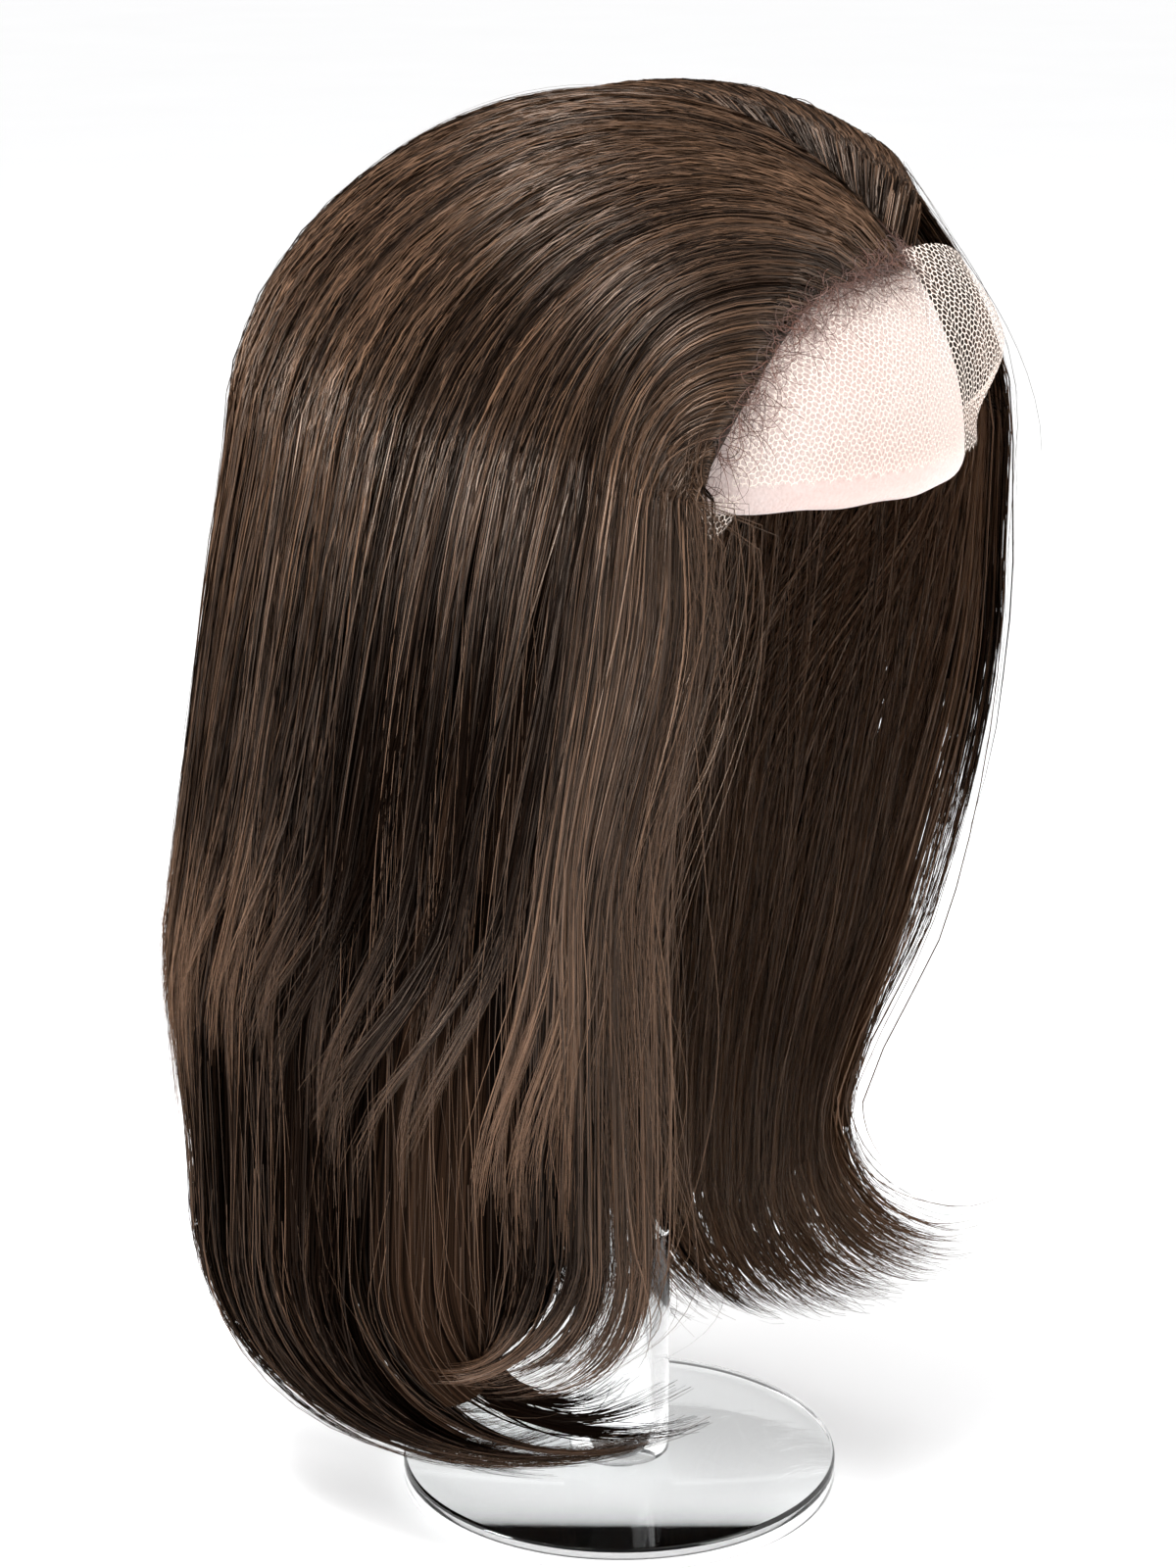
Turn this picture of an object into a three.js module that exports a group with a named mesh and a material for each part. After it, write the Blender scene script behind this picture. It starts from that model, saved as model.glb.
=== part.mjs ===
import * as THREE from 'three';
import { mergeVertices } from 'three/addons/utils/BufferGeometryUtils.js';

// A lace front wig on a plain clear stand. Millimetres, +Z up, the wig's front faces -Y.
// The origin is the middle of the underside of the base.
// Azimuths are degrees round the head: 0 front, 90 wearer's right (-X), 180 back, 270 wearer's left.

// Stand
const baseRadius = 65;
const baseHeight = 8;
const baseEdge = 1;
const tubeRadius = 15;
const tubeWall = 5;
const tubeRim = 79.5;
const rodRadius = 9;
const socketDepth = 30;
const socketClearance = 0.5;

// Padded head form
const headWidth = 159;
const headLength = 197;
const headHeight = 90;
const headEdge = 316;
const headSkirt = 6;

// Foundation and lace
const seat = 0.3;
const facetRoom = 1.1;
const capWall = 1.5;
const laceWall = 1;
const laceStandOff = 12.5;
const hairlineHeight = 35;
const hairlineEnd = 51;
const capEarAngle = 76;
const tabWidth = 16;
const tabDrop = 11;
const tabRise = 0.6;
const tabWall = 1.2;
const tabAzimuth = 48.5;

// Hair
const hairDepth = 16;
const hairDrop = 290;
const rootDepth = 1;
const topWall = 3.4;
const longWall = 3;
const tipWall = 0.9;
const layerGap = 0.9;
const partGap = 1;
const backPart = 0.8;
const lockWidth = 9.4;
const lockRelief = 1.8;
const lockNotch = 18;

// Where the strands run over the head: the azimuth where they leave it, then the azimuth and
// elevation of their roots, and of the direction that they bend round. Growth is the height of
// the hair over the head form where they leave it, rise that of the roots above the foundation,
// and lift that of the strands between the two.
const scalpGuides = [
  { at: 51, rootAz: 49.5, rootEl: 1, bendAz: 50, bendEl: 4, growth: 0.58, rise: 0, lift: 0 },
  { at: 57, rootAz: 47, rootEl: 9, bendAz: 53, bendEl: 15, growth: 0.63, rise: 0, lift: 0 },
  { at: 62, rootAz: 42, rootEl: 16, bendAz: 54, bendEl: 27, growth: 0.68, rise: 0, lift: 0 },
  { at: 69, rootAz: 33, rootEl: 27, bendAz: 57, bendEl: 38, growth: 0.76, rise: 0, lift: 0 },
  { at: 79, rootAz: 17, rootEl: 33.5, bendAz: 70, bendEl: 52, growth: 0.82, rise: 0, lift: 0 },
  { at: 96, rootAz: 4, rootEl: 35, bendAz: 75, bendEl: 66, growth: 0.88, rise: 0, lift: 0 },
  { at: 112, rootAz: -4, rootEl: 36, bendAz: 72, bendEl: 73, growth: 0.95, rise: 0, lift: 0 },
  { at: 128, rootAz: -9, rootEl: 38, bendAz: 67, bendEl: 77, growth: 1, rise: 0, lift: 0 },
  { at: 140, rootAz: -12, rootEl: 52, bendAz: 95, bendEl: 78, growth: 1.04, rise: 0, lift: 0 },
  { at: 152, rootAz: -18, rootEl: 65, bendAz: 125, bendEl: 77, growth: 1.06, rise: 0, lift: 0 },
  { at: 166, rootAz: -34, rootEl: 76, bendAz: 155, bendEl: 70, growth: 1.06, rise: 0, lift: 0 },
  { at: 180, rootAz: -68, rootEl: 81.5, bendAz: 182, bendEl: 62, growth: 1.06, rise: 0, lift: 0 },
  { at: 194, rootAz: -36, rootEl: 76, bendAz: 208, bendEl: 70, growth: 1.06, rise: 0, lift: 0.1 },
  { at: 208, rootAz: -21, rootEl: 65, bendAz: 236, bendEl: 74, growth: 1.06, rise: 0.04, lift: 0.22 },
  { at: 226, rootAz: -16, rootEl: 55, bendAz: 268, bendEl: 72, growth: 1.08, rise: 0.1, lift: 0.36 },
  { at: 246, rootAz: -14, rootEl: 48, bendAz: 282, bendEl: 66, growth: 1.15, rise: 0.2, lift: 0.38 },
  { at: 266, rootAz: -13, rootEl: 43, bendAz: 294, bendEl: 60, growth: 1.25, rise: 0.3, lift: 0.36 },
  { at: 284, rootAz: -14, rootEl: 40, bendAz: 296, bendEl: 60, growth: 1.38, rise: 0.35, lift: 0.34 },
  { at: 298, rootAz: -15, rootEl: 38, bendAz: 300, bendEl: 60, growth: 1.5, rise: 0.38, lift: 0.26 },
  { at: 312, rootAz: -17, rootEl: 36.5, bendAz: 306, bendEl: 58, growth: 1.56, rise: 0.4, lift: 0.06 },
];

// How the hair hangs: belly and tail are the growth half way down and at the tail height, drift
// is the turn about the head in degrees, which is complete at the share settle of the drop, and
// the top layer ends at topEnd with a flick outwards.
const hangGuides = [
  { at: 51, belly: 0.6, tail: 0.62, drift: 9.5, settle: 0.4, topEnd: 0.6, flick: 0.1, topDrift: 3 },
  { at: 62, belly: 0.78, tail: 0.78, drift: 6.5, settle: 0.4, topEnd: 0.62, flick: 0.3, topDrift: 8 },
  { at: 79, belly: 1.1, tail: 1.05, drift: 2, settle: 0.5, topEnd: 0.61, flick: 0.5, topDrift: 10 },
  { at: 96, belly: 1.4, tail: 1.4, drift: 0, settle: 0.8, topEnd: 0.57, flick: 0.5, topDrift: 10 },
  { at: 112, belly: 1.75, tail: 1.75, drift: 0, settle: 0.8, topEnd: 0.52, flick: 0.4, topDrift: 8 },
  { at: 128, belly: 2.25, tail: 2.15, drift: 0, settle: 0.8, topEnd: 0.56, flick: 0.2, topDrift: 4 },
  { at: 152, belly: 2.52, tail: 2.2, drift: 0, settle: 0.8, topEnd: 0.7, flick: 0, topDrift: 0 },
  { at: 180, belly: 2.4, tail: 2.1, drift: 0, settle: 0.8, topEnd: 0.71, flick: 0, topDrift: 0 },
  { at: 208, belly: 2.15, tail: 1.9, drift: 0, settle: 0.8, topEnd: 0.66, flick: 0, topDrift: 0 },
  { at: 232, belly: 1.75, tail: 1.5, drift: -2, settle: 0.8, topEnd: 0.6, flick: 0.2, topDrift: -3 },
  { at: 266, belly: 1.35, tail: 0.95, drift: -4, settle: 0.8, topEnd: 0.56, flick: 0.3, topDrift: -4 },
  { at: 298, belly: 1.45, tail: 0.65, drift: -14, settle: 0.8, topEnd: 0.54, flick: 0.1, topDrift: 0 },
  { at: 312, belly: 1.45, tail: 0.3, drift: -26, settle: 0.8, topEnd: 0.58, flick: 0, topDrift: 0 },
];

// How the long locks curl: the drop where the curl begins, its radius, the angle that it turns
// through, and the azimuth that the tips sweep towards.
const curlGuides = [
  { at: 51, start: 0.7, radius: 0.155, turn: 90, heading: 172 },
  { at: 70, start: 0.715, radius: 0.12, turn: 84, heading: 184 },
  { at: 92, start: 0.75, radius: 0.19, turn: 98, heading: 304 },
  { at: 112, start: 0.755, radius: 0.225, turn: 108, heading: 326 },
  { at: 128, start: 0.775, radius: 0.23, turn: 108, heading: 338 },
  { at: 152, start: 0.79, radius: 0.22, turn: 102, heading: 348 },
  { at: 180, start: 0.805, radius: 0.2, turn: 95, heading: 360 },
  { at: 208, start: 0.82, radius: 0.18, turn: 92, heading: 374 },
  { at: 232, start: 0.845, radius: 0.155, turn: 90, heading: 380 },
  { at: 266, start: 0.87, radius: 0.12, turn: 92, heading: 368 },
  { at: 290, start: 0.81, radius: 0.115, turn: 95, heading: 356 },
  { at: 312, start: 0.74, radius: 0.1, turn: 100, heading: 342 },
];

// Long sections: the azimuths that each spans, and how far it reaches up the head.
const longSections = [
  { name: 'hair_front_right', from: 52.5, to: 70, rise: 0 },
  { name: 'hair_back_right', from: 93, to: 179, rise: 0.045 },
  { name: 'hair_back_left', from: 181, to: 254, rise: 0.045 },
  { name: 'hair_side_left', from: 256, to: 291, rise: 0.045 },
  { name: 'hair_front_left', from: 293, to: 310.5, rise: 0.045 },
];

const headMiddle = new THREE.Vector3(0, 0, headEdge);
// Curved shells are made of flat facets, so each one stands a facet's rise clear of the next.
const shellFoot = seat + facetRoom;
const capTop = shellFoot + capWall;
const hairFoot = capTop + seat + facetRoom;
const radians = THREE.MathUtils.degToRad;
const smooth = (value, low, high) => THREE.MathUtils.smoothstep(value, low, high);
const mix = THREE.MathUtils.lerp;

function direction(azimuth, elevation) {
  const a = radians(azimuth);
  const e = radians(elevation);
  return new THREE.Vector3(-Math.sin(a) * Math.cos(e), -Math.cos(a) * Math.cos(e), Math.sin(e));
}

// A point that stands off the head form by the given growth, in the given direction.
function overHead(unit, growth) {
  return new THREE.Vector3(
    unit.x * (headWidth / 2 + growth),
    unit.y * (headLength / 2 + growth),
    unit.z * (headHeight + growth),
  ).add(headMiddle);
}

// A point beside or below the head form, at a drop below its edge.
function besideHead(azimuth, growth, drop) {
  const point = overHead(direction(azimuth, 0), growth);
  point.z -= drop;
  return point;
}

// A smooth curve through one column of a guide table, read at an azimuth.
function read(table, column, at) {
  const last = table.length - 1;
  let i = table.findIndex((row) => row.at > at) - 1;
  if (i < -1) i = last - 1;
  i = THREE.MathUtils.clamp(i, 0, last - 1);
  const rows = [table[Math.max(i - 1, 0)], table[i], table[i + 1], table[Math.min(i + 2, last)]];
  const slope = (a, b) => (b[column] - a[column]) / (b.at - a.at);
  const span = rows[2].at - rows[1].at;
  const leave = slope(rows[0] === rows[1] ? rows[1] : rows[0], rows[2]) * span;
  const arrive = slope(rows[1], rows[3] === rows[2] ? rows[2] : rows[3]) * span;
  const t = THREE.MathUtils.clamp((at - rows[1].at) / span, 0, 1);
  const cube = 2 * t ** 3 - 3 * t ** 2;
  return (
    (1 + cube) * rows[1][column] +
    (t ** 3 - 2 * t ** 2 + t) * leave -
    cube * rows[2][column] +
    (t ** 3 - t ** 2) * arrive
  );
}

// Directions are blended as vectors, because azimuths crowd together near the crown.
const scalpVectors = scalpGuides.map((row) => {
  const root = direction(row.rootAz, row.rootEl);
  const bend = direction(row.bendAz, row.bendEl);
  return {
    at: row.at,
    rootX: root.x, rootY: root.y, rootZ: root.z,
    bendX: bend.x, bendY: bend.y, bendZ: bend.z,
  };
});

function scalpVector(at, kind) {
  return new THREE.Vector3(
    read(scalpVectors, `${kind}X`, at),
    read(scalpVectors, `${kind}Y`, at),
    read(scalpVectors, `${kind}Z`, at),
  ).normalize();
}

// The strand's path over the head, t from 0 at the root to 1 where it leaves the head.
function scalpDirection(at, t) {
  const root = scalpVector(at, 'root');
  root.x += ((at < 180 ? -1 : 1) * partGap * 2) / headWidth;
  return root.multiplyScalar((1 - t) ** 2)
    .addScaledVector(scalpVector(at, 'bend'), 2 * t * (1 - t))
    .addScaledVector(direction(at, 0), t * t)
    .normalize();
}

function scalpGrowth(at, t) {
  const root = hairFoot + rootDepth + read(scalpGuides, 'rise', at) * hairDepth;
  const leave = read(scalpGuides, 'growth', at) * hairDepth;
  const lift = read(scalpGuides, 'lift', at) * hairDepth;
  return mix(root, leave, t ** 3) + lift * Math.sin(Math.PI * t ** 0.7);
}

// The growth of the outer surface of the hanging hair, at a share of the whole drop.
function hangGrowth(at, share) {
  const leave = read(scalpGuides, 'growth', at);
  const belly = read(hangGuides, 'belly', at);
  const tail = read(hangGuides, 'tail', at);
  const bellyShare = 0.52;
  const tailShare = 0.78;
  const down = share < bellyShare
    ? mix(leave, belly, share / bellyShare)
    : mix(belly, tail, smooth(share, bellyShare, tailShare));
  return down * hairDepth;
}

// The azimuth of a strand that turns about the head as it hangs.
function drifted(at, share) {
  const settle = read(hangGuides, 'settle', at);
  return at + read(hangGuides, 'drift', at) * smooth(share, settle * 0.19, settle);
}

// A closed sheet between an outer and an inner grid of points, columns along u, rows along v.
function sheet(outer, inner) {
  const columns = outer.length;
  const rows = outer[0].length;
  const points = [];
  outer.forEach((column) => points.push(...column));
  inner.forEach((column) => points.push(...column));
  const out = (i, j) => i * rows + j;
  const into = (i, j) => (columns + i) * rows + j;
  const index = [];
  const quad = (a, b, c, d) => index.push(a, b, c, a, c, d);
  for (let i = 0; i < columns - 1; i += 1) {
    for (let j = 0; j < rows - 1; j += 1) {
      quad(out(i, j), out(i, j + 1), out(i + 1, j + 1), out(i + 1, j));
      quad(into(i, j), into(i + 1, j), into(i + 1, j + 1), into(i, j + 1));
    }
    quad(out(i, 0), out(i + 1, 0), into(i + 1, 0), into(i, 0));
    quad(out(i, rows - 1), into(i, rows - 1), into(i + 1, rows - 1), out(i + 1, rows - 1));
  }
  for (let j = 0; j < rows - 1; j += 1) {
    quad(out(0, j), into(0, j), into(0, j + 1), out(0, j + 1));
    const end = columns - 1;
    quad(out(end, j), out(end, j + 1), into(end, j + 1), into(end, j));
  }
  return solid(points, index);
}

function solid(points, index) {
  const geometry = new THREE.BufferGeometry().setFromPoints(points);
  geometry.setIndex(index);
  const merged = mergeVertices(geometry, 1e-4);
  if (volume(merged) < 0) merged.setIndex([...merged.index.array].reverse());
  merged.computeVertexNormals();
  return merged;
}

function volume(geometry) {
  const place = geometry.attributes.position;
  const corner = (i) => new THREE.Vector3().fromBufferAttribute(place, geometry.index.getX(i));
  let total = 0;
  for (let i = 0; i < geometry.index.count; i += 3) {
    total += corner(i).dot(corner(i + 1).cross(corner(i + 2)));
  }
  return total / 6;
}

// A body of revolution from a profile of radius and height pairs that begins and ends on Z.
function turned(profile, sides) {
  const lathe = new THREE.LatheGeometry(profile.map(([r, z]) => new THREE.Vector2(r, z)), sides);
  lathe.rotateX(Math.PI / 2);
  lathe.deleteAttribute('normal');
  lathe.deleteAttribute('uv');
  const merged = mergeVertices(lathe, 1e-4);
  merged.computeVertexNormals();
  return merged;
}

const hairFinish = new THREE.MeshStandardMaterial({ color: 0x46362c, roughness: 0.45, metalness: 0 });
const acrylicFinish = new THREE.MeshStandardMaterial({
  color: 0xf2f5f6, roughness: 0.05, metalness: 0, transparent: true, opacity: 0.35,
});
const padFinish = new THREE.MeshStandardMaterial({ color: 0xf0dedb, roughness: 0.95, metalness: 0 });
const laceFinish = new THREE.MeshStandardMaterial({ color: 0xcdb9a6, roughness: 0.8, metalness: 0 });
const capFinish = new THREE.MeshStandardMaterial({ color: 0x3a2d26, roughness: 0.9, metalness: 0 });

function named(name, geometry, material) {
  const mesh = new THREE.Mesh(geometry, material.clone());
  mesh.name = name;
  return mesh;
}

function standBase() {
  return named('stand_base', turned([
    [0, 0],
    [baseRadius - baseEdge, 0],
    [baseRadius, baseEdge],
    [baseRadius, baseHeight - baseEdge],
    [baseRadius - baseEdge, baseHeight],
    [0, baseHeight],
  ], 48), acrylicFinish);
}

function standTube() {
  const foot = baseHeight + seat;
  const bore = tubeRadius - tubeWall;
  return named('stand_tube', turned([
    [bore, foot],
    [tubeRadius, foot],
    [tubeRadius, tubeRim],
    [bore, tubeRim],
    [bore, foot],
  ], 36), acrylicFinish);
}

// The rod has a rounded foot, which shows through the tube.
function standRod() {
  const foot = baseHeight + seat;
  const head = headEdge - headSkirt + socketDepth - seat;
  const rounding = [0, 0.35, 0.7, 0.92, 1].map((share) => [
    rodRadius * share,
    foot + rodRadius * (1 - Math.sqrt(1 - share * share)),
  ]);
  return named('stand_rod', turned([...rounding, [rodRadius, head], [0, head]], 24), acrylicFinish);
}

// The padded head form: half an ellipsoid on a short rounded skirt, with a socket for the rod.
function standDome() {
  const sides = 36;
  const socket = rodRadius + socketClearance;
  const floor = headEdge - headSkirt;
  const rings = [{ x: 0, y: 0, z: headEdge + headHeight }];
  const steps = 9;
  for (let i = 1; i <= steps; i += 1) {
    const turn = (Math.PI / 2) * (i / steps);
    rings.push({
      x: (Math.sin(turn) * headWidth) / 2,
      y: (Math.sin(turn) * headLength) / 2,
      z: headEdge + Math.cos(turn) * headHeight,
    });
  }
  for (const turn of [30, 60, 90]) {
    const inset = headSkirt * (1 - Math.cos(radians(turn)));
    rings.push({
      x: headWidth / 2 - inset,
      y: headLength / 2 - inset,
      z: headEdge - headSkirt * Math.sin(radians(turn)),
    });
  }
  rings.push({ x: socket, y: socket, z: floor });
  rings.push({ x: socket, y: socket, z: floor + socketDepth });
  rings.push({ x: 0, y: 0, z: floor + socketDepth });
  const points = [];
  for (const ring of rings) {
    for (let i = 0; i < sides; i += 1) {
      const turn = (2 * Math.PI * i) / sides;
      points.push(new THREE.Vector3(Math.cos(turn) * ring.x, Math.sin(turn) * ring.y, ring.z));
    }
  }
  const index = [];
  for (let j = 0; j < rings.length - 1; j += 1) {
    for (let i = 0; i < sides; i += 1) {
      const next = (i + 1) % sides;
      const a = j * sides + i;
      const b = (j + 1) * sides + i;
      const c = (j + 1) * sides + next;
      const d = j * sides + next;
      if (j > 0) index.push(a, c, d);
      if (j < rings.length - 2) index.push(a, b, c);
    }
  }
  return named('stand_dome', solid(points, index), padFinish);
}

// The hairline's elevation at an azimuth on either side of the front.
function hairline(azimuth) {
  return hairlineHeight * (1 - Math.min(Math.abs(azimuth) / hairlineEnd, 1) ** 3);
}

// A direction on arcs that run from ear to ear: side from the middle, then over from the front.
function earToEar(side, over) {
  const s = radians(side);
  const o = radians(over);
  return new THREE.Vector3(Math.sin(s), -Math.cos(s) * Math.cos(o), Math.cos(s) * Math.sin(o));
}

// Where the hairline crosses such an arc, found by halving.
function hairlineOver(side) {
  let low = 0;
  let high = 90;
  for (let i = 0; i < 30; i += 1) {
    const middle = (low + high) / 2;
    const unit = earToEar(side, middle);
    const azimuth = THREE.MathUtils.radToDeg(Math.atan2(-unit.x, -unit.y));
    const elevation = THREE.MathUtils.radToDeg(Math.asin(unit.z));
    if (elevation > hairline(azimuth)) high = middle;
    else low = middle;
  }
  return (low + high) / 2;
}

function cap() {
  const columns = 19;
  const rows = 18;
  const hem = 1;
  const outer = [];
  const inner = [];
  for (let i = 0; i < columns; i += 1) {
    const side = mix(-capEarAngle, capEarAngle, i / (columns - 1));
    const front = Math.max(hairlineOver(side), hem);
    const column = [];
    const lining = [];
    for (let j = 0; j < rows; j += 1) {
      const unit = earToEar(side, mix(front, 180 - hem, j / (rows - 1)));
      column.push(overHead(unit, capTop));
      lining.push(overHead(unit, shellFoot));
    }
    outer.push(column);
    inner.push(lining);
  }
  return named('cap', sheet(outer, inner), capFinish);
}

// The sheer front: it lies on the head form, and on the wearer's left it stands off it in a fold.
function laceFront() {
  const columns = 19;
  const rows = 9;
  const reach = 45;
  const scallop = 1.5;
  const outer = [];
  const inner = [];
  for (let i = 0; i < columns; i += 1) {
    const side = mix(-reach, reach, i / (columns - 1));
    const back = hairlineOver(side) - 0.6;
    const front = 1 + (i % 2) * scallop;
    const column = [];
    const lining = [];
    for (let j = 0; j < rows; j += 1) {
      const free = 1 - j / (rows - 1);
      const belly = mix(0.85, 1, smooth(free, 0, 0.35)) * mix(1, 0.1, smooth(free, 0.42, 0.9));
      const away = smooth(side, 2, 26) * belly;
      const ripple = 1 + 0.12 * Math.sin(side / 3.2) * free;
      const growth = shellFoot + laceStandOff * away * ripple;
      const unit = earToEar(side, mix(front, back, j / (rows - 1)));
      column.push(overHead(unit, growth + laceWall));
      lining.push(overHead(unit, growth));
    }
    outer.push(column);
    inner.push(lining);
  }
  return named('lace_front', sheet(outer, inner), laceFinish);
}

// A small tab that hangs from the foundation at the corner of the lace, in front of the ear.
function earTab(name, side) {
  const columns = 5;
  const rows = 4;
  const outer = [];
  const inner = [];
  const middle = side * tabAzimuth;
  const halfTurn = THREE.MathUtils.radToDeg(tabWidth / headLength);
  for (let i = 0; i < columns; i += 1) {
    const across = mix(-1, 1, i / (columns - 1));
    const column = [];
    const lining = [];
    for (let j = 0; j < rows; j += 1) {
      const down = j / (rows - 1);
      const narrow = 1 - 0.45 * down ** 2;
      const azimuth = middle + across * halfTurn * narrow;
      const drop = tabDrop * down * (1 - 0.3 * across ** 2) - tabRise * (1 - down);
      column.push(besideHead(azimuth, shellFoot + tabWall, drop));
      lining.push(besideHead(azimuth, shellFoot, drop));
    }
    outer.push(column);
    inner.push(lining);
  }
  return named(name, sheet(outer, inner), laceFinish);
}

// The top layer of one side: it grows from the part and the hairline and ends in flicked locks.
function topLayer(name, from, to) {
  const locks = Math.max(2, Math.round((to - from) / lockWidth));
  const columns = 2 * locks + 1;
  const scalpRows = 11;
  const hangRows = 7;
  const outer = [];
  const inner = [];
  for (let i = 0; i < columns; i += 1) {
    const at = mix(from, to, i / (columns - 1));
    const ridge = i % 2;
    const column = [];
    const lining = [];
    for (let j = 0; j <= scalpRows; j += 1) {
      const t = j / scalpRows;
      const unit = scalpDirection(at, t);
      const growth = scalpGrowth(at, t) + (ridge - 0.5) * lockRelief * t;
      const free = smooth(-unit.z, -0.42, -0.16);
      const under = Math.max(scalpGrowth(at, t) - topWall, hairFoot);
      column.push(overHead(unit, growth));
      lining.push(overHead(unit, mix(hairFoot, under, free)));
    }
    const end = read(hangGuides, 'topEnd', at) * hairDrop - (1 - ridge) * lockNotch;
    for (let j = 1; j <= hangRows; j += 1) {
      const down = j / hangRows;
      const drop = end * down;
      const flick = smooth(down, 0.55, 1.05) ** 1.5;
      const azimuth = drifted(at, drop / hairDrop) + read(hangGuides, 'topDrift', at) * flick;
      const base = hangGrowth(at, drop / hairDrop) + read(hangGuides, 'flick', at) * hairDepth * flick;
      const thin = smooth(down, 0.6, 1);
      const relief = (ridge - 0.5) * lockRelief * (1 - thin);
      column.push(besideHead(azimuth, base + relief, drop));
      lining.push(besideHead(azimuth, base - mix(topWall, tipWall, thin), drop));
    }
    outer.push(column);
    inner.push(lining);
  }
  return named(name, sheet(outer, inner), hairFinish);
}

// A point on the outer face of the long hair. Down runs from 0 at the top of the section, over
// 1 where the curl starts, to 2 at the tip.
function longPoint(at, down, rise) {
  const start = read(curlGuides, 'start', at) * hairDrop;
  const drop = mix(-rise * hairDrop, start, Math.min(down, 1));
  const share = Math.max(drop, 0) / hairDrop;
  const azimuth = drifted(at, share);
  const under = Math.max(hangGrowth(at, share) - topWall - layerGap, hairFoot + tipWall);
  const growth = mix(hairFoot + tipWall, under, smooth(drop, -2 * headSkirt, 2 * headSkirt));
  if (drop < 0) {
    const lean = Math.asin(-drop / (headHeight + growth));
    return overHead(direction(azimuth, THREE.MathUtils.radToDeg(lean)), growth);
  }
  const point = besideHead(azimuth, growth, drop);
  if (down <= 1) return point;
  const radius = read(curlGuides, 'radius', at) * hairDrop;
  const turn = radians(read(curlGuides, 'turn', at)) * (down - 1);
  const sweep = direction(read(curlGuides, 'heading', at), 0);
  point.addScaledVector(sweep, radius * (1 - Math.cos(turn)));
  point.z -= radius * Math.sin(turn);
  return point;
}

function longNormal(at, down, rise) {
  const step = 0.4;
  const near = 0.02;
  const across = longPoint(at + step, down, rise).sub(longPoint(at - step, down, rise));
  const below = longPoint(at, Math.min(down + near, 2), rise);
  const above = longPoint(at, Math.max(down - near, 0), rise);
  return across.cross(below.sub(above)).normalize();
}

// A section of the long hair, which ends in curled locks.
function longSection({ name, from, to, rise }) {
  const locks = Math.max(2, Math.round((to - from) / lockWidth));
  const columns = 2 * locks + 1;
  const hangRows = 7;
  const curlRows = 7;
  const rows = hangRows + curlRows;
  const outer = [];
  const inner = [];
  for (let i = 0; i < columns; i += 1) {
    const at = mix(from, to, i / (columns - 1));
    const ridge = i % 2;
    const length = (read(curlGuides, 'start', at) + rise) * hairDrop;
    const curl = read(curlGuides, 'radius', at) * hairDrop * radians(read(curlGuides, 'turn', at));
    const end = 2 - ((1 - ridge) * lockNotch) / curl;
    const clear = (rise * hairDrop + 2 * headSkirt) / length;
    const column = [];
    const lining = [];
    for (let j = 0; j <= rows; j += 1) {
      const down = j <= hangRows ? j / hangRows : mix(1, end, (j - hangRows) / curlRows);
      const normal = longNormal(at, down, rise);
      const point = longPoint(at, down, rise);
      const body = smooth(down, clear, 2.5 * clear) * (1 - smooth(down, 1.4, end));
      const relief = (1 - ridge) * lockRelief * body * 0.7;
      column.push(point.clone().addScaledVector(normal, -relief));
      lining.push(point.addScaledVector(normal, -mix(tipWall, longWall, body)));
    }
    outer.push(column);
    inner.push(lining);
  }
  return named(name, sheet(outer, inner), hairFinish);
}

const wig = new THREE.Group();
wig.add(standBase(), standTube(), standRod(), standDome(), cap(), laceFront());
wig.add(earTab('ear_tab_right', 1), earTab('ear_tab_left', -1));
wig.add(topLayer('hair_top_right', 52, 180 - backPart));
wig.add(topLayer('hair_top_left', 180 + backPart, 311));
longSections.forEach((section) => wig.add(longSection(section)));

export default wig;
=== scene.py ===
import math
from types import SimpleNamespace

import bpy
import numpy as np
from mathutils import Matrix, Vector


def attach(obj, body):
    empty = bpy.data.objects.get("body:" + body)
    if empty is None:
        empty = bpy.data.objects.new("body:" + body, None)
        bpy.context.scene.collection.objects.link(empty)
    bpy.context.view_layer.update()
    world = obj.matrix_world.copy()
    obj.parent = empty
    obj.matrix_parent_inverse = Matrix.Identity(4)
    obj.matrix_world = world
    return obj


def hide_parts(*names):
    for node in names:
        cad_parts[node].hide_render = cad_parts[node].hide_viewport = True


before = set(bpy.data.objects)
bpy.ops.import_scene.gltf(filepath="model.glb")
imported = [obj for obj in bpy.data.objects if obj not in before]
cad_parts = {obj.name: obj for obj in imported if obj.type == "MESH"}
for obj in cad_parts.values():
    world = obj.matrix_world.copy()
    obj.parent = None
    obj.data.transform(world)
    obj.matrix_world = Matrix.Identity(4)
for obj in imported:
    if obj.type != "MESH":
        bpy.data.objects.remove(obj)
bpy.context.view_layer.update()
scene = bpy.context.scene

# A lace front wig on a clear stand. Metres, +Z up, the wig's front faces -Y.
# Azimuths are degrees round the head: 0 front, 90 wearer's right (-X), 180 back.


# Camera, light and floor

view = {
    "place": (-0.803648, -0.521895, 0.48654),
    "aim": (-0.0048, 0.0081, 0.2155),
    "lens": 80.0,
}
light = {
    "sky": 1.4,
    "dimSky": 0.25,                              # towards the photographer, where no lamp stands
    "dimSide": (-0.80, -0.53, 0.27),
    "lamps": {                                   # x, y, z, size, watts
        "leftSoftbox": (-1.15, 0.66, 0.40, 0.34, 23.0),
        "frontSoftbox": (0.0, -1.35, 0.6, 0.7, 12.0),
        "topSoftbox": (-0.45, 0.1, 1.4, 0.5, 22.0),
    },
    "floorColours": ((0.90, 0.90, 0.905, 1.0), (0.93, 0.93, 0.935, 1.0)),
}


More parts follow.
